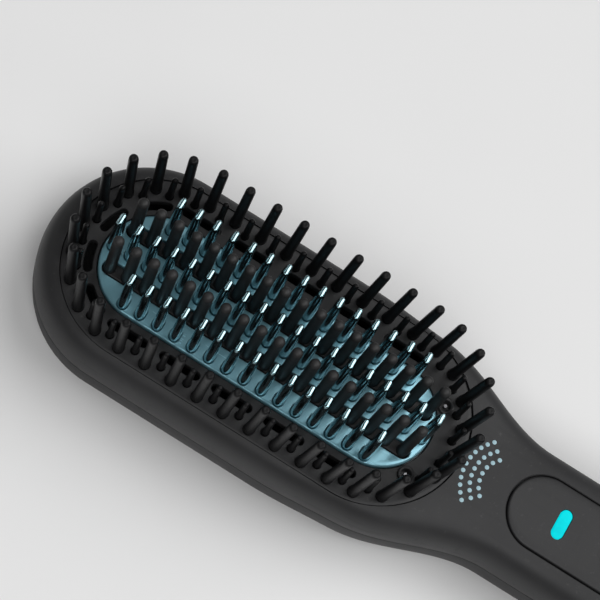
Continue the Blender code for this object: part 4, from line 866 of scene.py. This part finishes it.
def make_posts():
    pattern = smooth(post())
    row_y = TOOTH_ROW_SPACING / 2
    for y, node in ((row_y, "cool_posts_far"), (-row_y, "cool_posts_near")):
        low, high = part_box(node)
        bar = block(low.x, high.x, low.y, high.y, low.z, POST_BAR_TOP_Z)
        top = PLATE_TOP_Z - POST_STRIP_DROP
        levels = (
            (0.0, POST_BAR_TOP_Z - 0.0003),
            (0.0, top - 0.0003),
            (-0.0001, top - 0.0001),
            (-0.0003, top),
        )
        strip = smooth(skin(levels_on(strip_outline(y, POST_STRIP_RADIUS), levels)))
        posts = [copy_of(pattern, *place) for place in row_places(POSTS_PER_ROW, TOOTH_SPACING, y)]
        dress(joined([bar, strip] + posts, node + "_moulding"), "brush", "post", node)
    drop(pattern)


def make_ion_outlets():
    flange = BED_TOP_Z + 0.0003
    pattern = turned((
        (0.0016, BED_BOTTOM_Z),
        (0.0016, flange - 0.0001),
        (0.00200, flange),
        (0.00210, flange + 0.0002),
        (0.00205, flange + 0.0005),
        (0.00180, flange + 0.00062),
        (0.00140, flange + 0.0005),
        (0.00118, flange + 0.0001),
        (0.00110, flange - 0.0014),
    ), 36)
    copies = []
    for place, side in zip(ion_places(), ("far", "near")):
        copies.append((*place, "ion_outlet_" + side, "ion_collar_" + side))
    finish_copies(pattern, copies, "collar")


# Controls

def crowned_rings(outline_at, levels, shares=(0.8, 0.6, 0.4, 0.2, 0.05)):
    """Rings up to a crowned top, then in to the middle; levels are (grow, height over the panel's top)."""
    steps = [(grow, depth, 1.0) for grow, depth in levels]
    steps += [(*levels[-1], share) for share in shares]
    top_of = crowned_at(PANEL_TOP_Z)
    rings = []
    for grow, depth, share in steps:
        ring = [(x, y * share) for x, y in outline_at(grow)]
        rings.append([(x, y, top_of(x, y) + depth) for x, y in ring])
    return rings


def button_outlines(gap=0.0):
    """Each button's name, place and outline."""
    outlines = [("power", POWER_X, circle(POWER_X, 0.0, POWER_RADIUS + gap, 48))]
    for name, x in (("heat_up", HEAT_UP_X), ("heat_down", HEAT_DOWN_X)):
        outlines.append((name, x, upright_pill(x, HEAT_HALF_LENGTH + gap, HEAT_HALF_WIDTH + gap)))
    return outlines


def make_panel():
    levels = (
        (0.0, -PANEL_THICKNESS),
        (0.0, -0.0005),
        (-0.00008, -0.00022),
        (-0.00025, -0.00006),
        (-0.0005, 0.0),
    )
    panel = skin(crowned_rings(panel_outline(), levels))
    window = upright_pill(LED_X, LED_HALF_LENGTH + LENS_GAP, LED_HALF_WIDTH + LENS_GAP)
    top_at = crowned_at(PANEL_TOP_Z)
    tools = [flared_cutter(window, top_at, 0.0001)]
    for name, x, outline_at in button_outlines(BUTTON_GAP):
        tools.append(flared_cutter(outline_at, top_at, 0.0002))
    carve(panel, joined(tools))
    finish(panel, "panel_inlay", "brush", "panel", "control_panel")


def make_lens():
    levels = ((0.0, -PANEL_THICKNESS), (0.0, -0.0001), (-0.00012, 0.00006), (-0.0004, 0.00012))
    window = upright_pill(LED_X, LED_HALF_LENGTH, LED_HALF_WIDTH)
    lens = skin(crowned_rings(window, levels, (0.7, 0.4, 0.1)))
    stem_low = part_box("led_lens")[0].z
    stem = upright_pill(LED_X, LENS_STEM_HALF_LENGTH, LENS_STEM_HALF_WIDTH)
    carve(lens, plain_solid(stem, stem_low, DECK_Z - 0.0012), "UNION")
    finish(lens, "lit_window", "brush", "led", "led_lens")


def sign_bar(x0, x1, half_width, top):
    return block(x0, x1, -half_width, half_width, top - SIGN_SINK, top + SIGN_RISE)


def power_sign(top):
    """A ring open at the head side with a short bar through the opening, slightly raised."""
    ring = plain_solid(circle(POWER_X, 0.0, SIGN_RING_RADIUS, 40), top - SIGN_SINK, top + SIGN_RISE)
    inner_radius = SIGN_RING_RADIUS - 2 * SIGN_HALF_WIDTH
    carve(ring, plain_solid(circle(POWER_X, 0.0, inner_radius, 40), 0.0, 2 * DECK_Z))
    opening_x = POWER_X - SIGN_RING_RADIUS / 2
    carve(ring, block(POWER_X - 0.003, opening_x, -POWER_OPENING, POWER_OPENING, 0.0, 2 * DECK_Z))
    bar = sign_bar(POWER_X - POWER_BAR_START, POWER_X - POWER_BAR_END, SIGN_HALF_WIDTH, top)
    return joined([ring, bar])


def dash_sign(x, top):
    return sign_bar(x - SIGN_HALF_WIDTH, x + SIGN_HALF_WIDTH, SIGN_HALF_LENGTH, top)


def plus_sign(x, top):
    upright = sign_bar(x - SIGN_HALF_LENGTH, x + SIGN_HALF_LENGTH, SIGN_HALF_WIDTH, top)
    return carve(upright, dash_sign(x, top), "UNION")


def make_buttons():
    top = PANEL_TOP_Z + BUTTON_PROUD
    signs = {
        "power": lambda: power_sign(top - 0.00018),
        "heat_up": lambda: plus_sign(HEAT_UP_X, top - 0.00012),
        "heat_down": lambda: dash_sign(HEAT_DOWN_X, top - 0.00012),
    }
    for name, x, outline_at in button_outlines():
        body = name + "_button"
        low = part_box(body)[0].z
        cap_low = PANEL_FLOOR_Z + BUTTON_LIFT
        levels = (
            (0.0, cap_low),
            (0.0, top - 0.0006),
            (-0.00012, top - 0.00025),
            (-0.0004, top - 0.00005),
            (-0.0009, top),
            (-0.0018, top - 0.00012),
            (-0.0026, top - 0.00018),
        )
        button = skin(levels_on(outline_at, levels))
        stem = turned((
            (STEM_FOOT_RADIUS, low),
            (STEM_FOOT_RADIUS, PANEL_FLOOR_Z - 0.0023),
            (STEM_RADIUS, PANEL_FLOOR_Z - 0.0022),
            (STEM_RADIUS, cap_low + 0.0005),
        ), 24)
        stem.location = (x, 0, 0)
        carve(button, settle(stem), "UNION")
        finish(button, name + "_key", body, "button", body)
        finish(signs[name](), name + "_sign", body, "button", look="ink")


def dot_places():
    """Three arcs of dots on the neck, convex towards the head."""
    places = []
    for radius, count in DOT_ARCS:
        for i in range(count):
            angle = DOT_SPREAD * (2 * i / (count - 1) - 1)
            x = DOT_CENTRE_X - radius * math.cos(angle)
            y = DOT_CENTRE_Y + radius * math.sin(angle)
            places.append((x, y, DECK_Z - crown_drop(x, y)))
    return places


def make_dots():
    levels = ((DOT_RADIUS, -0.00005), (DOT_RADIUS, 0.00002), (DOT_RADIUS - 0.00004, 0.00004))
    finish(spread(turned(levels, 16), dot_places()), "airflow_dots", "brush", "collar", look="ink")


# Rear fittings

def make_gland():
    """A ribbed rubber outlet with an open bore."""
    profile = [
        (GLAND_NECK_RADIUS, GLAND_START_X),
        (GLAND_NECK_RADIUS, GLAND_SEAT_X - 0.0001),
        (GLAND_FLANGE_RADIUS - 0.0002, GLAND_SEAT_X),
        (GLAND_FLANGE_RADIUS, GLAND_SEAT_X + 0.0003),
        (GLAND_FLANGE_RADIUS, GLAND_SEAT_X + 0.0026),
        (GLAND_FLANGE_RADIUS - 0.0003, GLAND_SEAT_X + 0.0030),
    ]
    x = GLAND_SEAT_X + 0.0030
    while x < GLAND_END_X - 0.0022:
        profile += [(GROOVE_RADIUS, x + 0.0002), (GROOVE_RADIUS, x + 0.0007)]
        profile += [(RIB_RADIUS, x + 0.0009), (RIB_RADIUS, x + 0.0017)]
        x += RIB_SPACING
    profile += [
        (RIB_RADIUS - 0.0001, GLAND_END_X - 0.0003),
        (GROOVE_RADIUS, GLAND_END_X),
        (0.0024, GLAND_END_X),
        (GLAND_BORE_RADIUS, GLAND_END_X - 0.0003),
        (GLAND_BORE_RADIUS, GLAND_START_X + 0.0007),
    ]
    gland = lay_along_x(turned(profile, 40))
    finish(gland, "cord_outlet", "gland", "gland", "cord_gland")


def make_screws():
    """Pan-head screws with a cross recess, heads down."""
    low = SCREW_HEAD_Z
    pattern = turned((
        (SCREW_RADIUS, low + SCREW_LENGTH),
        (SCREW_RADIUS, low + 0.0016),
        (SCREW_HEAD_RADIUS, low + 0.0016),
        (SCREW_HEAD_RADIUS, low + 0.0005),
        (SCREW_HEAD_RADIUS - 0.0002, low + 0.00015),
        (0.0014, low),
    ), 28)
    for half_x, half_y in ((CROSS_HALF_LENGTH, CROSS_HALF_WIDTH), (CROSS_HALF_WIDTH, CROSS_HALF_LENGTH)):
        carve(pattern, block(-half_x, half_x, -half_y, half_y, -FAR, low + 0.0010))
    copies = [(x, y, "cross_" + node, node) for node, (x, y) in SCREWS.items()]
    finish_copies(pattern, copies, "steel", "screw")


# Materials

def add(tree, kind, **settings):
    node = tree.nodes.new(kind)
    for key, value in settings.items():
        setattr(node, key, value)
    return node


def put(slot, value):
    """Link a socket to a node's input, or set the input's own value."""
    if isinstance(value, bpy.types.NodeSocket):
        slot.id_data.links.new(value, slot)
    else:
        slot.default_value = value


def feed(node, **values):
    """Give a node its inputs by label, with _ for each space."""
    for label, value in values.items():
        put(node.inputs[label.replace("_", " ")], value)
    return node


def new_group(name, inputs, outputs):
    """An empty node group with its named sockets; inputs give each starting value."""
    group = bpy.data.node_groups.new(name, "ShaderNodeTree")
    for label, value in inputs.items():
        made = group.interface.new_socket(name=label, in_out="INPUT", socket_type="NodeSocketFloat")
        made.default_value = value
    for label in outputs:
        group.interface.new_socket(name=label, in_out="OUTPUT", socket_type="NodeSocketFloat")
    return group, add(group, "NodeGroupInput").outputs, add(group, "NodeGroupOutput")


def object_place(tree):
    return add(tree, "ShaderNodeTexCoord").outputs["Object"]


def stretched_place(tree, stretch, turn=0.0):
    mapping = add(tree, "ShaderNodeMapping")
    feed(mapping, Vector=object_place(tree), Rotation=(0.0, 0.0, turn), Scale=stretch)
    return mapping.outputs["Vector"]


def surface_normal(tree):
    return add(tree, "ShaderNodeNewGeometry").outputs["Normal"]


def math_node(tree, operation, first, second):
    """A Math node; each side is a socket or a number."""
    node = add(tree, "ShaderNodeMath", operation=operation)
    put(node.inputs[0], first)
    put(node.inputs[1], second)
    return node.outputs[0]


def times(tree, first, second):
    return math_node(tree, "MULTIPLY", first, second)


def spread_range(tree, value, low, high, new_low=0.0, new_high=1.0):
    """Map a value from one range to another, clamped."""
    node = add(tree, "ShaderNodeMapRange", clamp=True)
    feed(node, Value=value, From_Min=low, From_Max=high, To_Min=new_low, To_Max=new_high)
    return node.outputs["Result"]


def noise(tree, vector, scale, detail=2.0, roughness=0.5):
    node = add(tree, "ShaderNodeTexNoise")
    feed(node, Vector=vector, Scale=scale, Detail=detail, Roughness=roughness)
    return node.outputs["Fac"]


def grain_group():
    """Fine moulded grain: rounded pebbles with a little noise over them."""
    group, given, result = new_group("moulded_grain", {"Scale": 3000.0}, ("Height", "Speckle"))
    place = object_place(group)
    cells = add(group, "ShaderNodeTexVoronoi", feature="SMOOTH_F1")
    feed(cells, Vector=place, Scale=given["Scale"])
    fine = noise(group, place, times(group, given["Scale"], 1.9), 3.0)
    height = math_node(group, "ADD", times(group, cells.outputs["Distance"], 0.7), fine)
    feed(result, Height=height, Speckle=spread_range(group, fine, 0.35, 0.7))
    return group


def mottle_group():
    """Slow cloudy change of tone and gloss over a moulded surface."""
    group, given, result = new_group("slow_mottle", {"Scale": 60.0}, ("Cloud", "Patch"))
    place = object_place(group)
    cloud = noise(group, place, given["Scale"], 3.0, 0.55)
    patch = noise(group, place, times(group, given["Scale"], 0.31))
    feed(result, Cloud=spread_range(group, cloud, 0.32, 0.68), Patch=spread_range(group, patch, 0.38, 0.62))
    return group


def wear_group():
    """Where an edge is rubbed: the surface turns away from its softened normal, broken up by noise."""
    group, given, result = new_group("edge_rub", {"Radius": 0.0004, "Break Scale": 900.0}, ("Rub",))
    soft = feed(add(group, "ShaderNodeBevel", samples=4), Radius=given["Radius"])
    facing = add(group, "ShaderNodeVectorMath", operation="DOT_PRODUCT")
    put(facing.inputs[0], soft.outputs["Normal"])
    put(facing.inputs[1], surface_normal(group))
    edge = spread_range(group, facing.outputs["Value"], 0.995, 0.9)
    broken = noise(group, object_place(group), given["Break Scale"], 3.0)
    feed(result, Rub=times(group, edge, spread_range(group, broken, 0.35, 0.65)))
    return group


def scuff_group():
    """Thin hairline scuffs from wiping, as long thin noise in two directions."""
    group, given, result = new_group("wiping_marks", {"Scale": 500.0}, ("Hairlines",))
    lines = []
    for turn, stretch in ((0.35, (0.05, 1.0, 1.0)), (-0.6, (1.0, 0.06, 1.0))):
        streaks = noise(group, stretched_place(group, stretch, turn), given["Scale"])
        lines.append(spread_range(group, streaks, 0.62, 0.72))
    feed(result, Hairlines=math_node(group, "MAXIMUM", lines[0], lines[1]))
    return group


def dust_group():
    """Fine dust that settles on what faces up."""
    group, given, result = new_group("settled_dust", {"Scale": 700.0}, ("Dust",))
    facing = feed(add(group, "ShaderNodeSeparateXYZ"), Vector=surface_normal(group))
    up = spread_range(group, facing.outputs["Z"], 0.55, 1.0)
    specks = noise(group, object_place(group), given["Scale"], 4.0, 0.7)
    feed(result, Dust=times(group, up, spread_range(group, specks, 0.6, 0.75)))
    return group


def drawn_group():
    """Drawn or rolled metal: fine lines along X."""
    group, given, result = new_group("drawn_lines", {"Scale": 2500.0}, ("Lines",))
    feed(result, Lines=noise(group, stretched_place(group, (0.03, 1.0, 1.0)), given["Scale"], 3.0))
    return group


EFFECTS = {
    "grain": grain_group(),
    "mottle": mottle_group(),
    "wear": wear_group(),
    "scuffs": scuff_group(),
    "dust": dust_group(),
    "drawn": drawn_group(),
}


def effect(tree, name, output, **values):
    """Place a shared effect in a material, with its own values, and give one of its outputs."""
    node = add(tree, "ShaderNodeGroup", node_tree=EFFECTS[name])
    return feed(node, **values).outputs[output]


def blend_colour(tree, share, first, second):
    """Mix two colours by a share; each colour is a socket or a triple."""
    node = add(tree, "ShaderNodeMix", data_type="RGBA")
    put(node.inputs["Factor"], share)
    for slot, colour in ((node.inputs[6], first), (node.inputs[7], second)):
        put(slot, (*colour, 1.0) if isinstance(colour, tuple) else colour)
    return node.outputs[2]


def shade(colour, factor):
    return tuple(min(value * factor, 1.0) for value in colour)


def new_material(name, **values):
    """A material, its node tree and its shader, with the shader's own values set by label."""
    material = bpy.data.materials.new(name)
    material.use_nodes = True
    shader = feed(material.node_tree.nodes["Principled BSDF"], **values)
    return material, material.node_tree, shader


def cover(shader, base, roughness, height, distance, strength=1.0):
    """Give a shader its colour and its roughness, and a bump that rises with height."""
    bump = add(shader.id_data, "ShaderNodeBump")
    feed(bump, Strength=strength, Distance=distance, Height=height)
    feed(shader, Base_Color=base, Roughness=roughness, Normal=bump.outputs["Normal"])


def moulded(name, colour, gloss, grain_size, grain_depth, rub=1.6, dust=0.25, tone=0.14, sheen=0.3):
    """A moulded or coated surface: clouded tone, grain, rubbed edges and a little dust.

    gloss gives the roughness of its smoothest and dullest patches, sheen its mirror strength.
    """
    material, tree, shader = new_material(name, Specular_IOR_Level=sheen)
    cloud = effect(tree, "mottle", "Cloud", Scale=70.0)
    speckle = effect(tree, "grain", "Speckle", Scale=1 / grain_size)
    base = blend_colour(tree, cloud, shade(colour, 1 - tone), shade(colour, 1 + tone))
    base = blend_colour(tree, times(tree, speckle, 0.35), base, shade(colour, 1 + 2 * tone))
    rubbed = times(tree, effect(tree, "wear", "Rub", Radius=0.0003), 0.5)
    base = blend_colour(tree, rubbed, base, shade(colour, rub))
    settled = times(tree, effect(tree, "dust", "Dust"), dust * 0.3)
    base = blend_colour(tree, settled, base, (0.35, 0.34, 0.33))
    patch = times(tree, effect(tree, "mottle", "Patch", Scale=110.0), 0.6)
    uneven = math_node(tree, "ADD", patch, times(tree, speckle, 0.4))
    dull = spread_range(tree, uneven, 0.0, 1.0, *gloss)
    marks = times(tree, effect(tree, "scuffs", "Hairlines"), 0.06)
    height = effect(tree, "grain", "Height", Scale=1 / grain_size)
    cover(shader, base, math_node(tree, "ADD", dull, marks), height, grain_depth)
    return material


def coated_aluminium(name, colour, metal, gloss):
    """Coated or polished aluminium, with faint lines from its drawing and a few wiping marks."""
    material, tree, shader = new_material(name, Metallic=metal)
    cloud = effect(tree, "mottle", "Cloud", Scale=90.0)
    base = blend_colour(tree, cloud, shade(colour, 0.95), shade(colour, 1.05))
    rubbed = times(tree, effect(tree, "wear", "Rub", Radius=0.0002), 0.4)
    base = blend_colour(tree, rubbed, base, (0.75, 0.80, 0.82))
    lines = effect(tree, "drawn", "Lines", Scale=3000.0)
    dull = spread_range(tree, lines, 0.3, 0.7, *gloss)
    marks = times(tree, effect(tree, "scuffs", "Hairlines", Scale=700.0), 0.05)
    cover(shader, base, math_node(tree, "ADD", dull, marks), lines, 0.000001, 0.2)
    return material


def drawn_metal(name, colour, gloss=(0.22, 0.36)):
    """Bare drawn steel, a little clouded and rubbed bright at its edges."""
    material, tree, shader = new_material(name, Metallic=1.0)
    lines = effect(tree, "drawn", "Lines", Scale=2200.0)
    cloud = effect(tree, "mottle", "Cloud", Scale=160.0)
    base = blend_colour(tree, cloud, shade(colour, 0.85), shade(colour, 1.08))
    rubbed = effect(tree, "wear", "Rub", Radius=0.0002)
    base = blend_colour(tree, rubbed, base, shade(colour, 1.3))
    cover(shader, base, spread_range(tree, lines, 0.3, 0.7, *gloss), lines, 0.000004, 0.6)
    return material


def lit_lens():
    """Cyan lens lit from below, a little clouded."""
    values = {"Roughness": 0.45, "Specular_IOR_Level": 0.05, "Emission_Strength": 0.8}
    material, tree, shader = new_material("lit_cyan_lens", **values)
    cloud = effect(tree, "mottle", "Cloud", Scale=300.0)
    glow = blend_colour(tree, cloud, (0.0, 0.72, 0.80), (0.0, 0.84, 0.90))
    base = blend_colour(tree, cloud, (0.0, 0.08, 0.09), (0.0, 0.12, 0.13))
    feed(shader, Emission_Color=glow, Base_Color=base)
    return material


def soldered_board():
    """Green solder mask with copper tracks that show faintly through it."""
    material, tree, shader = new_material("green_board")
    bricks = add(tree, "ShaderNodeTexBrick")
    feed(bricks, Vector=object_place(tree), Scale=180.0, Mortar_Size=0.03)
    tracks = bricks.outputs["Fac"]
    base = blend_colour(tree, tracks, (0.03, 0.16, 0.07), (0.07, 0.25, 0.11))
    speckle = effect(tree, "grain", "Speckle", Scale=2500.0)
    cover(shader, base, spread_range(tree, speckle, 0.0, 1.0, 0.28, 0.42), tracks, 0.00003)
    return material


def flaky_mica():
    """Mica sheet: brown flakes that catch the light unevenly."""
    material, tree, shader = new_material("pearly_mica")
    flakes = feed(add(tree, "ShaderNodeTexVoronoi"), Vector=object_place(tree), Scale=900.0)
    flake = flakes.outputs["Distance"]
    base = blend_colour(tree, flake, (0.42, 0.33, 0.22), (0.25, 0.18, 0.10))
    cover(shader, base, spread_range(tree, flake, 0.0, 1.0, 0.25, 0.6), flake, 0.00004)
    return material


# Each look under its slot's name; ink, teeth and screw are looks without a slot
MATERIALS = {
    "shell": moulded("soft_touch_charcoal", (0.022, 0.022, 0.023), (0.48, 0.60), 0.00022, 0.000006),
    "bed": moulded("satin_bed", (0.022, 0.022, 0.023), (0.42, 0.56), 0.00035, 0.000012),
    "bristle": moulded("black_nylon", (0.006, 0.006, 0.0065), (0.32, 0.42), 0.0004, 0.000003, sheen=0.14),
    "post": moulded("cool_post_plastic", (0.018, 0.018, 0.0185), (0.45, 0.55), 0.0003, 0.000005),
    "panel": moulded("panel_satin", (0.020, 0.020, 0.021), (0.42, 0.54), 0.00022, 0.000005),
    "collar": moulded("outlet_satin", (0.022, 0.022, 0.023), (0.35, 0.48), 0.0003, 0.000005),
    "button": moulded("key_silicone", (0.012, 0.012, 0.013), (0.42, 0.56), 0.0003, 0.000006),
    "ink": moulded(
        "pale_sign_ink", (0.34, 0.50, 0.56), (0.45, 0.60), 0.0003, 0.000003, rub=1.1, dust=0.0, tone=0.05
    ),
    "gland": moulded("outlet_rubber", (0.012, 0.012, 0.013), (0.55, 0.70), 0.0003, 0.000010),
    "frame": moulded("heatproof_cream", (0.62, 0.58, 0.48), (0.45, 0.60), 0.0004, 0.000012, rub=1.1),
    "fan_plastic": moulded("fan_grey", (0.30, 0.31, 0.33), (0.40, 0.55), 0.0004, 0.000010, rub=1.3),
    "black_plastic": moulded("switch_black", (0.012, 0.012, 0.013), (0.35, 0.50), 0.0003, 0.000008),
    "ceramic": moulded("bare_ceramic", (0.78, 0.77, 0.73), (0.55, 0.70), 0.0003, 0.000015, rub=1.05),
    "plate": coated_aluminium("pale_blue_plate", (0.22, 0.46, 0.55), 0.35, (0.18, 0.25)),
    "teeth": coated_aluminium("polished_tooth_metal", (0.30, 0.46, 0.50), 1.0, (0.12, 0.16)),
    "steel": drawn_metal("drawn_steel", (0.55, 0.56, 0.58)),
    "screw": drawn_metal("dark_screw_steel", (0.20, 0.20, 0.21), (0.28, 0.42)),
    "led": lit_lens(),
    "board": soldered_board(),
    "mica": flaky_mica(),
}

NODE_EXCEPTIONS = {
    "plate_frame": "black_plastic",
    "ion_emitter": "screw",
    "rear_bulkhead": "black_plastic",
}


def finish_cad_nodes():
    """Every node that keeps its CAD mesh gets the finish of its slot, or its own."""
    for row in frame["record"]["subparts"]:
        node = frame["nodes"][row["node"]]
        material = MATERIALS[NODE_EXCEPTIONS.get(row["node"], row["material_slot"])]
        for slot in node.material_slots:
            slot.material = material


# Stage

def make_floor():
    bpy.ops.mesh.primitive_plane_add(size=6.0, location=(0, 0, 0))
    floor = bpy.context.object
    floor.name = "floor"
    material, tree, shader = new_material("pale_floor", Roughness=0.7)
    cloud = effect(tree, "mottle", "Cloud", Scale=8.0)
    base = blend_colour(tree, cloud, (0.78, 0.78, 0.78), (0.80, 0.80, 0.80))
    feed(shader, Base_Color=base)
    floor.data.materials.append(material)


def hung(name, data):
    """A lamp or camera put into the scene."""
    holder = bpy.data.objects.new(name, data)
    bpy.context.scene.collection.objects.link(holder)
    return holder


def soft_lamp(name, place, width, height, power):
    """A soft lamp, width by height, that faces the head of the brush."""
    lamp = bpy.data.lights.new(name, "AREA")
    lamp.shape = "RECTANGLE"
    lamp.size = width
    lamp.size_y = height
    lamp.energy = power
    holder = hung(name, lamp)
    holder.location = place
    aim = Vector((BED_X, 0.0, DECK_Z)) - Vector(place)
    holder.rotation_euler = aim.to_track_quat("-Z", "Y").to_euler()


def make_light():
    soft_lamp("near_lamp", (0.15, -0.85, 1.5), 1.0, 0.7, 11.0)
    soft_lamp("overhead_panel", (0.9, 0.7, 1.9), 1.8, 1.8, 34.0)
    soft_lamp("right_strip", (1.1, 0.35, 0.6), 0.45, 0.25, 1.5)
    soft_lamp("left_strip", (-1.3, 0.35, 0.6), 0.45, 0.25, 0.8)
    world = bpy.data.worlds.new("pale_room")
    world.use_nodes = True
    feed(world.node_tree.nodes["Background"], Color=(1.0, 1.0, 1.0, 1.0), Strength=0.15)
    bpy.context.scene.world = world


def make_camera():
    """The photograph's camera, solved from the grid of teeth and bristles."""
    data = bpy.data.cameras.new("camera")
    data.sensor_width = 36.0
    data.lens = 133.27
    data.clip_start = 0.01
    camera = hung("camera", data)
    right = Vector((0.84745, 0.4998, 0.17897))
    up = Vector((-0.53086, 0.80068, 0.27768))
    back = Vector((-0.00451, -0.33033, 0.94385))
    turn = Matrix((right, up, back)).transposed().to_4x4()
    camera.matrix_world = Matrix.Translation((-0.07897, -0.1694, 0.54937)) @ turn
    bpy.context.scene.camera = camera


def main():
    make_camera()
    finish_cad_nodes()
    make_upper_shell()
    make_lower_shell()
    make_rear_cap()
    make_bed()
    make_bristles()
    make_plate()
    make_teeth()
    make_posts()
    make_ion_outlets()
    make_panel()
    make_lens()
    make_buttons()
    make_dots()
    make_gland()
    make_screws()
    make_floor()
    make_light()
    bpy.context.scene.view_settings.view_transform = "Standard"


main()
